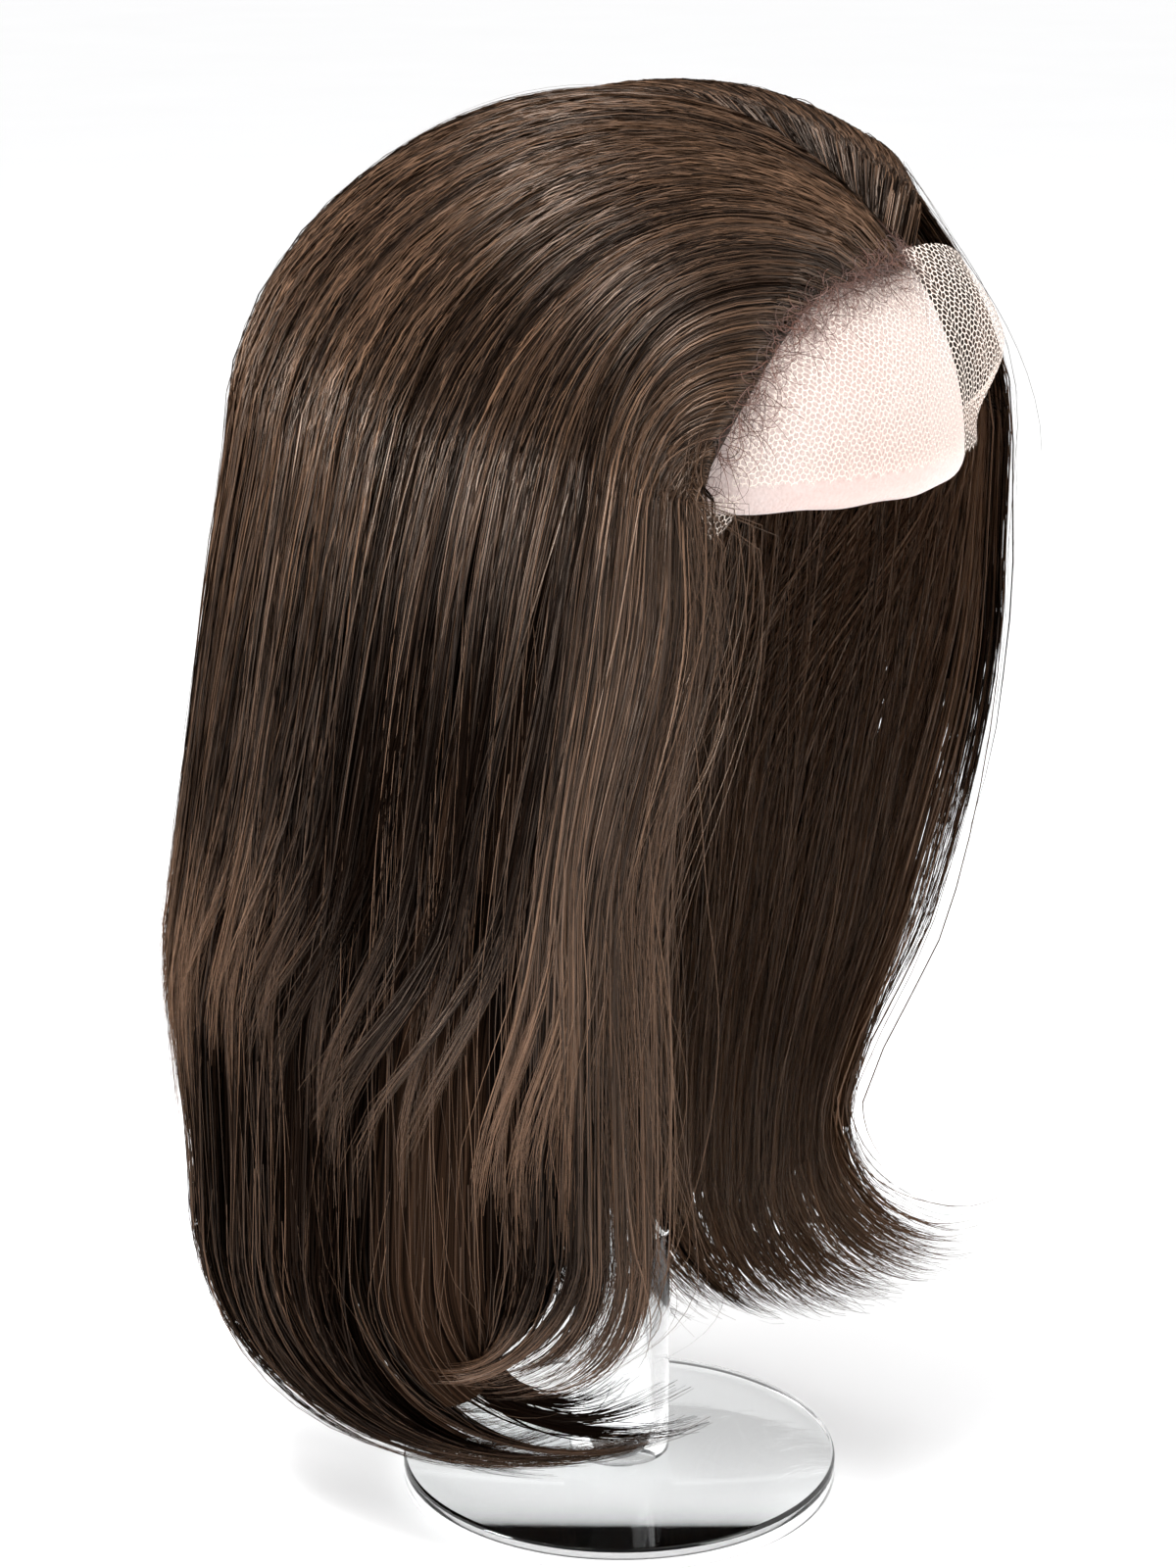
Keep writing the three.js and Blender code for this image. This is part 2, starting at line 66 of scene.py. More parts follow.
def makeCamera():
    data = bpy.data.cameras.new("camera")
    data.sensor_fit = "VERTICAL"
    data.sensor_height = 36
    data.lens = view["lens"]
    data.clip_start = 0.01
    camera = bpy.data.objects.new("camera", data)
    scene.collection.objects.link(camera)
    camera.location = view["place"]
    towards = Vector(view["aim"]) - Vector(view["place"])
    camera.rotation_euler = towards.to_track_quat("-Z", "Y").to_euler()
    scene.camera = camera


def makeLight(name, x, y, z, size, watts):
    data = bpy.data.lights.new(name, "AREA")
    data.size = size
    data.energy = watts
    lamp = bpy.data.objects.new(name, data)
    scene.collection.objects.link(lamp)
    lamp.location = (x, y, z)
    towards = Vector((0, 0, 0.25)) - lamp.location
    lamp.rotation_euler = towards.to_track_quat("-Z", "Y").to_euler()


# Shader maths on sockets

class Wire:
    def __init__(self, finish, socket):
        self.finish = finish
        self.socket = socket

    def maths(self, operation, first, second=None):
        values = {0: first} if second is None else {0: first, 1: second}
        return self.finish.node("ShaderNodeMath", {"operation": operation}, values)

    def __add__(self, other):
        return self.maths("ADD", self, other)

    def __radd__(self, other):
        return self.maths("ADD", other, self)

    def __sub__(self, other):
        return self.maths("SUBTRACT", self, other)

    def __rsub__(self, other):
        return self.maths("SUBTRACT", other, self)

    def __mul__(self, other):
        return self.maths("MULTIPLY", self, other)

    def __rmul__(self, other):
        return self.maths("MULTIPLY", other, self)

    def __truediv__(self, other):
        return self.maths("DIVIDE", self, other)

    def __rtruediv__(self, other):
        return self.maths("DIVIDE", other, self)

    def __abs__(self):
        return self.maths("ABSOLUTE", self)

    def wrapped(self, size):
        return self.maths("FLOORED_MODULO", self, size)

    def lower(self, other):
        return self.maths("MINIMUM", self, other)

    def higher(self, other):
        return self.maths("MAXIMUM", self, other)

    def ramp(self, low, high):
        return self.finish.node("ShaderNodeMapRange", {"interpolation_type": "SMOOTHSTEP"},
                                {0: self, 1: low, 2: high, 3: 0.0, 4: 1.0})


class Finish:
    def __init__(self, name, group=bpy.data.materials):
        self.material = group.new(name)
        self.material.use_nodes = True
        self.tree = self.material.node_tree
        self.tree.nodes.clear()

    def node(self, kind, settings=None, values=None, out=0):
        made = self.tree.nodes.new(kind)
        for key, value in (settings or {}).items():
            setattr(made, key, value)
        for key, value in (values or {}).items():
            if isinstance(value, Wire):
                self.tree.links.new(value.socket, made.inputs[key])
            else:
                made.inputs[key].default_value = value
        return Wire(self, made.outputs[out]) if made.outputs else None

    def attribute(self, name, out="Fac"):
        return self.node("ShaderNodeAttribute", {"attribute_name": name}, out=out)

    def point(self, x, y, z=0.0):
        return self.node("ShaderNodeCombineXYZ", None, {0: x, 1: y, 2: z})

    def noise(self, where, scale, detail):
        return self.node("ShaderNodeTexNoise", None, {"Vector": where, "Scale": scale, "Detail": detail})

    # the Mix node's colours are its inputs 6 and 7 and its output 2
    def mixColour(self, factor, first, second):
        return self.node("ShaderNodeMix", {"data_type": "RGBA"}, {0: factor, 6: first, 7: second}, 2)

    def vectorMaths(self, operation, first, second=None, scale=None):
        values = {i: v for i, v in enumerate((first, second)) if v is not None}
        if scale is not None:
            values["Scale"] = scale
        return self.node("ShaderNodeVectorMath", {"operation": operation}, values)

    # leans the surface's own normal towards side, which makes a flat ribbon look round
    def leanedNormal(self, side, amount):
        ahead = self.node("ShaderNodeNewGeometry", out="Normal")
        lean = self.vectorMaths("SCALE", side, scale=amount)
        return self.vectorMaths("NORMALIZE", self.vectorMaths("ADD", ahead, lean))

    def bump(self, height, distance, strength):
        return self.node("ShaderNodeBump", None,
                         {"Height": height, "Distance": distance, "Strength": strength})

    def shown(self, shader):
        self.node("ShaderNodeOutputMaterial", None, {"Surface": shader})
        return self.material

    def surface(self, values):
        return self.shown(self.node("ShaderNodeBsdfPrincipled", None, values))


def rgb(*colour):
    return (*colour, 1.0)


# Where the strands run: the same named sizes and guide tables as the solids, in metres

head = {"width": 0.159, "length": 0.197, "height": 0.090, "edge": 0.316, "skirt": 0.006}
hairSize = {
    "depth": 0.016, "drop": 0.290, "foot": 0.0043, "scalp": 0.0032, "rootDepth": 0.001,
    "topWall": 0.0034, "partGap": 0.0004,
}
lace = {"foot": 0.0014, "wall": 0.001, "standOff": 0.0125, "hairlineHeight": 35, "hairlineEnd": 51}

scalpGuides = [
    # at, rootAz, rootEl, bendAz, bendEl, growth, rise, lift
    (51, 49.5, 1, 50, 4, 0.58, 0, 0),
    (57, 47, 9, 53, 9, 0.63, 0, 0),
    (62, 42, 16, 57.5, 16, 0.68, 0, 0),
    (69, 33, 27, 61.5, 27, 0.76, 0, 0),
    (79, 17, 33.5, 65, 42, 0.82, 0, 0),
    (96, 4, 35, 74, 58, 0.88, 0, 0),
    (112, -4, 36, 84, 70, 0.95, 0, 0),
    (128, -9, 38, 95, 77, 1, 0, 0),
    (140, -12, 52, 112, 77, 1.04, 0, 0),
    (152, -18, 65, 130, 76, 1.06, 0, 0),
    (166, -34, 76, 155, 70, 1.06, 0, 0),
    (180, -68, 81.5, 182, 62, 1.06, 0, 0),
    (194, -36, 76, 208, 70, 1.06, 0, 0.1),
    (208, -21, 65, 236, 74, 1.06, 0.04, 0.22),
    (226, -16, 55, 268, 72, 1.08, 0.1, 0.36),
    (246, -14, 48, 282, 66, 1.15, 0.2, 0.38),
    (266, -13, 43, 294, 60, 1.25, 0.3, 0.36),
    (284, -14, 40, 296, 60, 1.38, 0.35, 0.34),
    (298, -15, 38, 300, 60, 1.5, 0.38, 0.26),
    (312, -17, 36.5, 306, 58, 1.56, 0.4, 0.06),
]
hangGuides = [
    # at, belly, tail, drift, settle, topEnd, flick, topDrift
    (51, 0.6, 0.62, 9.5, 0.4, 0.6, 0.1, 3),
    (62, 0.78, 0.78, 6.5, 0.4, 0.62, 0.3, 8),
    (79, 1.1, 1.05, 2, 0.5, 0.61, 0.5, 10),
    (96, 1.4, 1.4, 0, 0.8, 0.57, 0.5, 10),
    (112, 1.75, 1.75, 0, 0.8, 0.52, 0.4, 8),
    (128, 2.25, 2.15, 0, 0.8, 0.56, 0.2, 4),
    (152, 2.52, 2.2, 0, 0.8, 0.7, 0, 0),
    (180, 2.4, 2.1, 0, 0.8, 0.71, 0, 0),
    (208, 2.15, 1.9, 0, 0.8, 0.66, 0, 0),
    (232, 1.75, 1.5, -2, 0.8, 0.6, 0.2, -3),
    (266, 1.35, 0.95, -4, 0.8, 0.56, 0.3, -4),
    (298, 1.45, 0.65, -14, 0.8, 0.54, 0.1, 0),
    (312, 1.45, 0.3, -26, 0.8, 0.58, 0, 0),
]
curlGuides = [
    # at, start, radius, turn, heading
    (51, 0.7, 0.19, 76, 172),
    (70, 0.715, 0.15, 76, 184),
    (92, 0.75, 0.19, 98, 304),
    (112, 0.755, 0.225, 108, 326),
    (128, 0.775, 0.23, 108, 338),
    (152, 0.79, 0.22, 102, 348),
    (180, 0.805, 0.2, 95, 360),
    (208, 0.82, 0.18, 92, 374),
    (232, 0.845, 0.155, 90, 380),
    (266, 0.87, 0.115, 92, 368),
    (290, 0.81, 0.11, 98, 356),
    (312, 0.74, 0.1, 110, 342),
]


def direction(azimuth, elevation):
    a = np.radians(azimuth)
    e = np.radians(elevation)
    return np.stack([-np.sin(a) * np.cos(e), -np.cos(a) * np.cos(e), np.sin(e) + 0 * a], -1)


def guide(rows, column):
    table = np.array(rows, float)
    return table[:, 0], table[:, column]


def read(known, at):
    place, value = known
    last = len(place) - 1
    i = np.clip(np.searchsorted(place, at, side="right") - 1, 0, last - 1)
    before = np.maximum(i - 1, 0)
    after = np.minimum(i + 2, last)
    span = place[i + 1] - place[i]
    leave = (value[i + 1] - value[before]) / (place[i + 1] - place[before]) * span
    arrive = (value[after] - value[i]) / (place[after] - place[i]) * span
    t = np.clip((at - place[i]) / span, 0, 1)
    cube = 2 * t**3 - 3 * t**2
    return ((1 + cube) * value[i] + (t**3 - 2 * t**2 + t) * leave
            - cube * value[i + 1] + (t**3 - t**2) * arrive)


def unit(vectors):
    return vectors / np.maximum(np.linalg.norm(vectors, axis=-1, keepdims=True), 1e-9)


def smooth(value, low, high):
    t = np.clip((value - low) / (high - low), 0, 1)
    return t * t * (3 - 2 * t)


def mix(a, b, share):
    return a + (b - a) * share


growthGuide = guide(scalpGuides, 5)
riseGuide = guide(scalpGuides, 6)
liftGuide = guide(scalpGuides, 7)
bellyGuide, tailGuide, driftGuide, settleGuide, topEndGuide, flickGuide, topDriftGuide = [
    guide(hangGuides, i) for i in range(1, 8)]
curlStart, curlRadius, curlTurn, curlHeading = [guide(curlGuides, i) for i in range(1, 5)]
scalpAt = np.array([row[0] for row in scalpGuides], float)
rootVectors = direction(*np.array([row[1:3] for row in scalpGuides], float).T)
bendVectors = direction(*np.array([row[3:5] for row in scalpGuides], float).T)


def overHead(way, growth):
    half = np.array([head["width"] / 2, head["length"] / 2, head["height"]])
    return way * (half + np.asarray(growth)[..., None]) + np.array([0, 0, head["edge"]])


def besideHead(azimuth, growth, drop):
    place = overHead(direction(azimuth, 0 * azimuth), growth)
    place[..., 2] -= drop
    return place


def blended(vectors, at):
    return unit(np.stack([read((scalpAt, vectors[:, k]), at) for k in range(3)], -1))


# On the wearer's right the hair is still on its way back where it leaves the head
sway = {
    "lag": 7,                                    # degrees by which it is behind there
    "lagFade": 5.6,                              # how soon it makes up for them as it hangs
}


def lag(at):
    return sway["lag"] * smooth(at, 52, 76) * smooth(at, 176, 150)


def scalpWay(at, t):
    root = blended(rootVectors, at)
    root[..., 0] += np.where(at < 180, -1, 1) * hairSize["partGap"] * 2 / head["width"]
    t = t[..., None]
    return unit(root * (1 - t) ** 2 + blended(bendVectors, at) * 2 * t * (1 - t)
                + direction(at - lag(at), 0 * at) * t * t)


# A cube of t that levels out before it reaches 1
def eased(t):
    join = 0.6
    leave, arrive = 3 * join**2, 0.3             # slopes where the cube ends and at 1
    u = np.clip((t - join) / (1 - join), 0, 1)
    bend = leave * (u**3 - 2 * u**2 + u) + arrive * (u**3 - u**2)
    return np.where(t < join, t**3, mix(join**3, 1, 3 * u**2 - 2 * u**3) + (1 - join) * bend)


def scalpGrowth(at, t):
    depth = hairSize["depth"]
    root = hairSize["foot"] + hairSize["rootDepth"] + read(riseGuide, at) * depth
    root = mix(hairSize["scalp"], root, smooth(t, -0.02, 0.09))
    leave = read(growthGuide, at) * depth
    t = np.maximum(t, 0)
    return mix(root, leave, eased(t)) + read(liftGuide, at) * depth * np.sin(np.pi * t**0.7)


def hangGrowth(at, share):
    leave, belly, tail = read(growthGuide, at), read(bellyGuide, at), read(tailGuide, at)
    down = np.where(share < 0.52, mix(leave, belly, share / 0.52),
                    mix(belly, tail, smooth(share, 0.52, 0.78)))
    return down * hairSize["depth"]


def drifted(at, share):
    settle = read(settleGuide, at)
    drift = read(driftGuide, at) * smooth(share, settle * 0.19, settle)
    return at + drift - lag(at) * np.exp(-sway["lagFade"] * share)


# The top layer: along runs from 0 at the root, over 1 where the hair leaves the head, to 2 at its tips
def topPoint(at, along, out, flicked):
    t = np.clip(along, -0.03, 1)
    over = overHead(scalpWay(at, t), np.maximum(scalpGrowth(at, t) + out, hairSize["scalp"]))
    down = np.clip(along - 1, 0, None)
    drop = read(topEndGuide, at) * hairSize["drop"] * down
    flick = smooth(down, 0.55, 1.05) ** 1.5 * flicked
    growth = hangGrowth(at, drop / hairSize["drop"]) + read(flickGuide, at) * hairSize["depth"] * flick
    azimuth = drifted(at, drop / hairSize["drop"]) + read(topDriftGuide, at) * flick
    return np.where((along <= 1)[..., None], over, besideHead(azimuth, growth + out, drop))


# The long hair: along runs from 0 at the root, over 1 at the head's edge and 2 where the curl
# starts, to 3 at its tips; sink is how far it lies under the top layer
def longPoint(at, along, out, sink):
    drop = hairSize["drop"]
    t = np.clip(along, -0.03, 1)
    lower = out - sink * smooth(along, 0, 0.2)
    over = overHead(scalpWay(at, t), np.maximum(scalpGrowth(at, t) + lower, hairSize["scalp"]))
    start = read(curlStart, at) * drop
    fall = start * np.clip(along - 1, 0, 1)
    share = fall / drop
    growth = np.maximum(hangGrowth(at, share) - sink, hairSize["scalp"])
    place = besideHead(drifted(at, share), growth + out, fall)
    radius = read(curlRadius, at) * drop - out * 0.7
    turn = np.radians(read(curlTurn, at)) * np.clip(along - 2, 0, None)
    sweep = direction(read(curlHeading, at), 0 * at)
    place = place + sweep * (radius * (1 - np.cos(turn)))[..., None]
    place[..., 2] -= radius * np.sin(turn)
    return np.where((along <= 1)[..., None], over, place)


# Meshes from arrays

def meshFromGrid(name, points, material, attributes=None, uv=None, closed=False):
    # points is sheets x rows x columns x 3; each sheet is a grid of quads
    sheets, rows, columns = points.shape[:3]
    index = np.arange(sheets * rows * columns).reshape(sheets, rows, columns)
    if closed:
        index = np.concatenate([index, index[:, :, :1]], 2)
    quads = np.stack([index[:, :-1, :-1], index[:, :-1, 1:], index[:, 1:, 1:], index[:, 1:, :-1]], -1)
    quads = quads.reshape(-1, 4)
    mesh = bpy.data.meshes.new(name)
    mesh.vertices.add(sheets * rows * columns)
    mesh.vertices.foreach_set("co", points.reshape(-1).astype(np.float32))
    mesh.loops.add(quads.size)
    mesh.loops.foreach_set("vertex_index", quads.reshape(-1).astype(np.int32))
    mesh.polygons.add(len(quads))
    mesh.polygons.foreach_set("loop_start", np.arange(0, quads.size, 4, dtype=np.int32))
    mesh.polygons.foreach_set("use_smooth", np.ones(len(quads), bool))
    mesh.update(calc_edges=True)
    for key, values in (attributes or {}).items():
        if values.shape[-1] == 3 and values.ndim == 4:
            layer = mesh.attributes.new(key, "FLOAT_VECTOR", "POINT")
            layer.data.foreach_set("vector", values.reshape(-1).astype(np.float32))
        else:
            layer = mesh.attributes.new(key, "FLOAT", "POINT")
            layer.data.foreach_set("value", values.reshape(-1).astype(np.float32))
    if uv is not None:
        layer = mesh.uv_layers.new(name="UVMap")
        flat = uv.reshape(-1, 2)[quads.reshape(-1)]
        layer.data.foreach_set("uv", flat.reshape(-1).astype(np.float32))
    mesh.materials.append(material)
    thing = bpy.data.objects.new(name, mesh)
    scene.collection.objects.link(thing)
    return thing


# Ribbons along strand paths: each is one quad wide, and its finish rounds it
def ribbons(name, place, ahead, width, roll, strand, tone, material):
    count, rows = place.shape[:2]
    along = unit(np.gradient(place, axis=1))
    side = unit(np.cross(along, ahead))
    face = unit(np.cross(side, along))
    roll = roll[:, None, None]
    side = side * np.cos(roll) + face * np.sin(roll)
    grid = place[:, :, None, :] + side[:, :, None, :] * (width[:, :, None] * [-0.5, 0.5])[..., None]
    run = np.cumsum(np.linalg.norm(np.diff(place, axis=1, prepend=place[:, :1]), axis=-1), 1)
    shape = (count, rows, 2)
    attributes = {
        "across": np.broadcast_to(np.array([0.0, 1.0]), shape),
        "along": np.broadcast_to(run[:, :, None], shape),
        "strand": np.broadcast_to(strand[:, None, None], shape),
        "tone": np.broadcast_to(tone.reshape(count, -1, 1), shape),
        "side": np.broadcast_to(side[:, :, None, :], shape + (3,)),
    }
    attributes = {key: np.ascontiguousarray(value) for key, value in attributes.items()}
    return meshFromGrid(name, grid, material, attributes)


# Slow waves that neighbouring strands share, as a sum of a few sines over azimuth and length
def waves(seed, at, along, tightness=1.0):
    dice = np.random.default_rng(seed)
    total = 0 * at * along
    for octave in range(5):
        pitch = (0.16 + 0.22 * octave) * tightness * dice.uniform(0.8, 1.2)
        total = total + np.sin(at * pitch + along * dice.uniform(0.6, 2.4) + dice.uniform(0, 6.3)) \
            / (1 + 0.6 * octave)
    return total / 2.2


# The hair's look
hairLook = {
    "dark": rgb(0.0035, 0.0018, 0.0011),
    "middle": rgb(0.036, 0.0192, 0.0114),
    "warm": rgb(0.140, 0.075, 0.042),
    "shineColour": rgb(1.0, 0.82, 0.7),
    "shine": 0.031,
    "roughness": 0.27,
    "roundness": 0.6,                            # how round a ribbon looks
    "fineRelief": 1.5,                           # how far finer hairs show on a ribbon
    "contrast": 2.6,
    "warmShare": 0.75,
}


def hairFinish(name):
    finish = Finish(name)
    # tone holds each strand's own tone together with painted light and painted shade, and sets its colour
    across, along, strand, tone = [finish.attribute(key) for key in ("across", "along", "strand", "tone")]
    side = finish.attribute("side", "Vector")
    fine = finish.noise(finish.point(across * 4 + strand * 311, along * 7, strand * 57), 1.0, 3.0)
    light = ((fine - 0.5) * hairLook["contrast"] + tone * 1.1).ramp(0.25, 1.45)
    warm = (tone * 0.7 + fine * 1.5).ramp(1.05, 1.7) * hairLook["warmShare"]
    colour = finish.mixColour(light, hairLook["dark"], hairLook["middle"])
    lean = (across * 2 - 1) * hairLook["roundness"] + (fine - 0.5) * hairLook["fineRelief"] * 2
    normal = finish.leanedNormal(side, lean)
    body = finish.node("ShaderNodeBsdfPrincipled", None, {
        "Base Color": finish.mixColour(warm, colour, hairLook["warm"]),
        "Roughness": 0.6,
        "Specular IOR Level": 0.0,
        "Normal": normal,
    })
    sheen = finish.node("ShaderNodeBsdfAnisotropic", None, {
        "Color": hairLook["shineColour"],
        "Roughness": (fine - 0.5) * 0.3 + hairLook["roughness"],
        "Normal": normal,
    })
    # the darker a strand, the less it shines, so the painted shade in tone also dims its sheen
    shine = (tone * 0.9 + fine * 0.7).ramp(0.3, 1.15) * hairLook["shine"]
    return finish.shown(finish.node("ShaderNodeMixShader", None, {0: shine, 1: body, 2: sheen}))


# Hair

def outward(point, at, along, *rest):
    # the direction out of the hair's surface, from the field's own slopes
    step = 0.4
    across = point(at + step, along, *rest) - point(at - step, along, *rest)
    ahead = np.gradient(point(at, along, *rest), axis=1)
    return unit(np.cross(across, ahead))


# The locks on the wearer's right swing back on their way down
def bowed(at, along, bow):
    return bow * smooth(at, 145, 104) * smooth(at, 60, 84) * smooth(along, 1.2, 2.05)


# Where each strand runs, and the lock that it belongs to: locks are of uneven width, and each has
# its own length, height, lean, tone and depth
def drawStrands(spec, dice):
    count, low, high = spec["count"], spec["from"], spec["to"]
    at = low + (high - low) * (np.arange(count) + dice.random(count)) / count
    hair = SimpleNamespace(share=np.linspace(0, 1, spec["rows"])[None, :])
    hair.wild = np.where(dice.random((count, 1)) < spec["wild"], 1, 0)
    hair.at = np.clip(at + dice.normal(0, spec["jitter"], count), low, high)[:, None]
    steps = dice.uniform(0.4, 1.6, int(1.4 * (high - low) / spec["lock"]) + 3) * spec["lock"]
    edges = low - spec["lock"] + np.cumsum(steps)
    index = np.clip(np.searchsorted(edges, hair.at) - 1, 0, len(edges) - 2)
    hair.middle, hair.half = (edges[index] + edges[index + 1]) / 2, (edges[index + 1] - edges[index]) / 2
    hair.away = hair.at - hair.middle
    lockNames = ("length", "height", "lean", "tone", "depth")
    hair.lock = {name: dice.normal(0, 1, len(edges))[index] for name in lockNames}
    hair.outer = dice.random((count, 1)) < spec["outer"]
    fromRoot, fromHead = [dice.uniform(*ends, (count, 1)) for ends in (spec["root"], spec["start"])]
    first = np.where(hair.outer, fromRoot, fromHead)
    reach = dice.uniform(0, 1, (count, 1)) ** 0.6
    last = mix(*spec["end"], reach) + spec["uneven"] * hair.lock["length"]
    hair.last = last - spec["thinFront"] * smooth(hair.at, 66, 53) * dice.uniform(0, 1, (count, 1))
    hair.along = first + (hair.last - first) * hair.share
    hair.free = smooth(hair.along, 0.25, 1.2)    # how far a strand is free of the head
    return hair


# How far each point of a strand is out of the hair's surface, or into it
def drawHeights(hair, spec, dice):
    count, at, along, free, lock = spec["count"], hair.at, hair.along, hair.free, hair.lock
    hair.depth = dice.uniform(0, 1, (count, 1)) ** 1.3 * spec["deep"]
    ripple = np.sin(along * dice.uniform(8, 20, (count, 1)) + dice.uniform(0, 6.3, (count, 1)))
    out = -hair.depth + free * (1 - (hair.away / hair.half) ** 2) * spec["relief"] \
        + free * lock["height"] * spec["uplift"] \
        + free * waves(5, at, along * 1.5) * spec["wave"] \
        + ripple * spec["ripple"] * free \
        + smooth(hair.share, 0.5, 1.0) * dice.normal(0, 1, (count, 1)) * spec["loose"]
    # towards the ends some locks sink, and others stay in front; drawTones darkens the sunk ones with
    # painted shade
    hair.sunk = smooth(lock["depth"], 0.4, -0.8) * spec["hollow"]
    out = out - hair.sunk * spec["hollowDepth"] * smooth(along, 1.35, 1.9)
    hair.inside = dice.random((count, 1)) < spec["inside"]
    inner = -spec["insideDepth"] + dice.uniform(-0.0006, 0.0016, (count, 1)) + out * 0.3
    hair.out = np.where(hair.inside, inner, out)


# The azimuth of each point of a strand
def drawTurns(hair, spec, dice):
    count, along, free, lock = spec["count"], hair.along, hair.free, hair.lock
    slow = np.sin(along * dice.uniform(1.2, 3.5, (count, 1)) + dice.uniform(0, 6.3, (count, 1)))
    swing = smooth(along, 0.5, 1.9) * waves(6, hair.middle, along * 2.0) * spec["swing"] \
        + smooth(along, -0.2, 0.9) * slow * spec["stray"] \
        + free * lock["lean"] * spec["lean"] * smooth(along, 0.7, hair.last) \
        + hair.wild * free * slow * spec["wildReach"]
    hair.out = hair.out + hair.wild * free * dice.uniform(0, spec["wildHeight"], (count, 1))
    turned = hair.middle + hair.away * (1 - spec["gather"] * smooth(along, 0.5, hair.last)) + swing
    swept = np.clip(0.45 + 0.5 * lock["depth"] + dice.normal(0, 0.15, (count, 1)), 0, 1.3)
    turned = turned + spec["sweep"] * smooth(along, 1.0, 1.9) * swept
    turned = turned + bowed(hair.at, along, spec["bow"]) * np.clip(1 + 0.4 * lock["length"], 0.3, 1.7)
    dive = spec["dive"] * np.where(hair.inside, dice.uniform(0, 1, (count, 1)) ** 1.5, 0)
    hair.turned = turned + dive * smooth(along, 0.9, 1.5)


# adds up the rows of a layer's shades: painted light, painted shade and paler ends in tone
def shade(rows, along, at):
    total = 0
    for amount, alongSteps, atSteps in rows:
        for value, steps in ((along, alongSteps), (at, atSteps)):
            for start, full in steps:
                amount = amount * smooth(value, start, full)
        total = total + amount
    return total


# a strand's tone: its own tone by lock and at random, darkened with painted shade the deeper it lies, plus
# the rows of shades, less painted shade under the top layer's tips and on sunk locks, plus paleEnds
def drawTones(hair, spec, dice):
    along, lock = hair.along, hair.lock
    tone = spec["tone"] + spec["lockTone"] * lock["tone"] \
        + dice.normal(0, spec["strandTone"], (spec["count"], 1)) - spec["depthShade"] * hair.depth
    tone = tone + shade(shades[spec["layer"]], along, hair.at)
    # painted shade under the top layer's tips and on the sunk locks
    under = smooth(along, 1.3, 1.5) * smooth(along, 2.3, 1.75)
    tone = tone - spec["hollow"] * (0.3 * under + 0.5 * hair.sunk * smooth(along, 1.4, 1.8))
    return np.clip(tone + spec["paleEnds"] * smooth(along, 1.4, 2.4), 0, 1.3)


def strands(name, spec, seed, material):
    dice = np.random.default_rng(seed)
    count = spec["count"]
    hair = drawStrands(spec, dice)
    drawHeights(hair, spec, dice)
    drawTurns(hair, spec, dice)
    if spec["layer"] == "top":
        rest, point = (np.clip(0.8 + 0.6 * hair.lock["depth"], 0.1, 1.6),), topPoint
    else:
        sink = np.where(hair.outer & ~hair.inside, dice.uniform(-0.0002, 0.0012, (count, 1)),
                        spec["sink"] * dice.uniform(0.85, 1.2, (count, 1)))
        rest, point = (sink,), longPoint
    place = point(hair.turned, hair.along, hair.out, *rest)
    ahead = outward(point, hair.turned, hair.along, hair.out, *rest)
    thick = dice.uniform(*spec["width"], (count, 1)) * (1 - 0.85 * smooth(hair.share, 0.7, 1.0)) \
        * (0.35 + 0.65 * smooth(hair.share, 0, 0.06))
    tone = drawTones(hair, spec, dice)
    roll = dice.normal(0, spec["roll"], count)
    return ribbons(name, place, ahead, thick, roll, dice.random(count), tone, material)


# Lengths are in metres, turns in degrees round the head, and starts and ends in steps of along
strandSpec = {
    "jitter": 0.4,                               # spread of the strands' roots
    "root": (-0.03, 0.045),
    "thinFront": 0,                              # how much earlier strands end at the front edge
    "ripple": 0.0003,
    "inside": 0, "insideDepth": 0.0036,          # share of strands on the inner face, and its depth
    "hollow": 0, "hollowDepth": 0.0055,          # how much some locks sink low down and darken with painted shade
    "wildHeight": 0.0014,                        # how far wild strands stand off their lock
    "sweep": 0, "dive": 0,                       # turn of outer and of inner strands low down
    # depthShade darkens the deeper strands with painted shade
    "tone": 0.6, "lockTone": 0.09, "strandTone": 0.17, "depthShade": 110, "paleEnds": 0,
    "roll": 0.4,                                 # spread of the ribbons' roll, in radians
}
topSpec = {
    **strandSpec,
    "layer": "top", "rows": 19, "width": (0.00024, 0.0006),
    "outer": 0.88, "start": (0.15, 0.9),         # share of strands from the root, starts of the rest
    "end": (1.45, 2.12), "uneven": 0.05,
    "lock": 2.7, "gather": 0.5,                  # a lock's width, and how far it narrows
    "deep": 0.0022, "relief": 0.0007, "uplift": 0.0004, "wave": 0.0007, "loose": 0.001,
    "swing": 2.5, "stray": 0.45, "lean": 1.2, "bow": 6,
    "wild": 0.08, "wildReach": 2.8,              # share of strands that leave their lock, and how far
}
longSpec = {
    **strandSpec,
    "layer": "long", "rows": 34, "width": (0.00026, 0.0007),
    "outer": 0.4, "start": (0.7, 1.15),
    "end": (2.35, 3.1), "uneven": 0.09,
    "lock": 3.8, "gather": 0.68,
    "deep": 0.003, "relief": 0.001, "uplift": 0.001, "wave": 0.001, "loose": 0.0018,
    "swing": 2.4, "stray": 0.6, "lean": 2.6, "bow": 0,
    "wild": 0.09, "wildReach": 3.4,
    "sink": 0.0043, "inside": 0.3,               # depth of the strands that start under the top layer
}
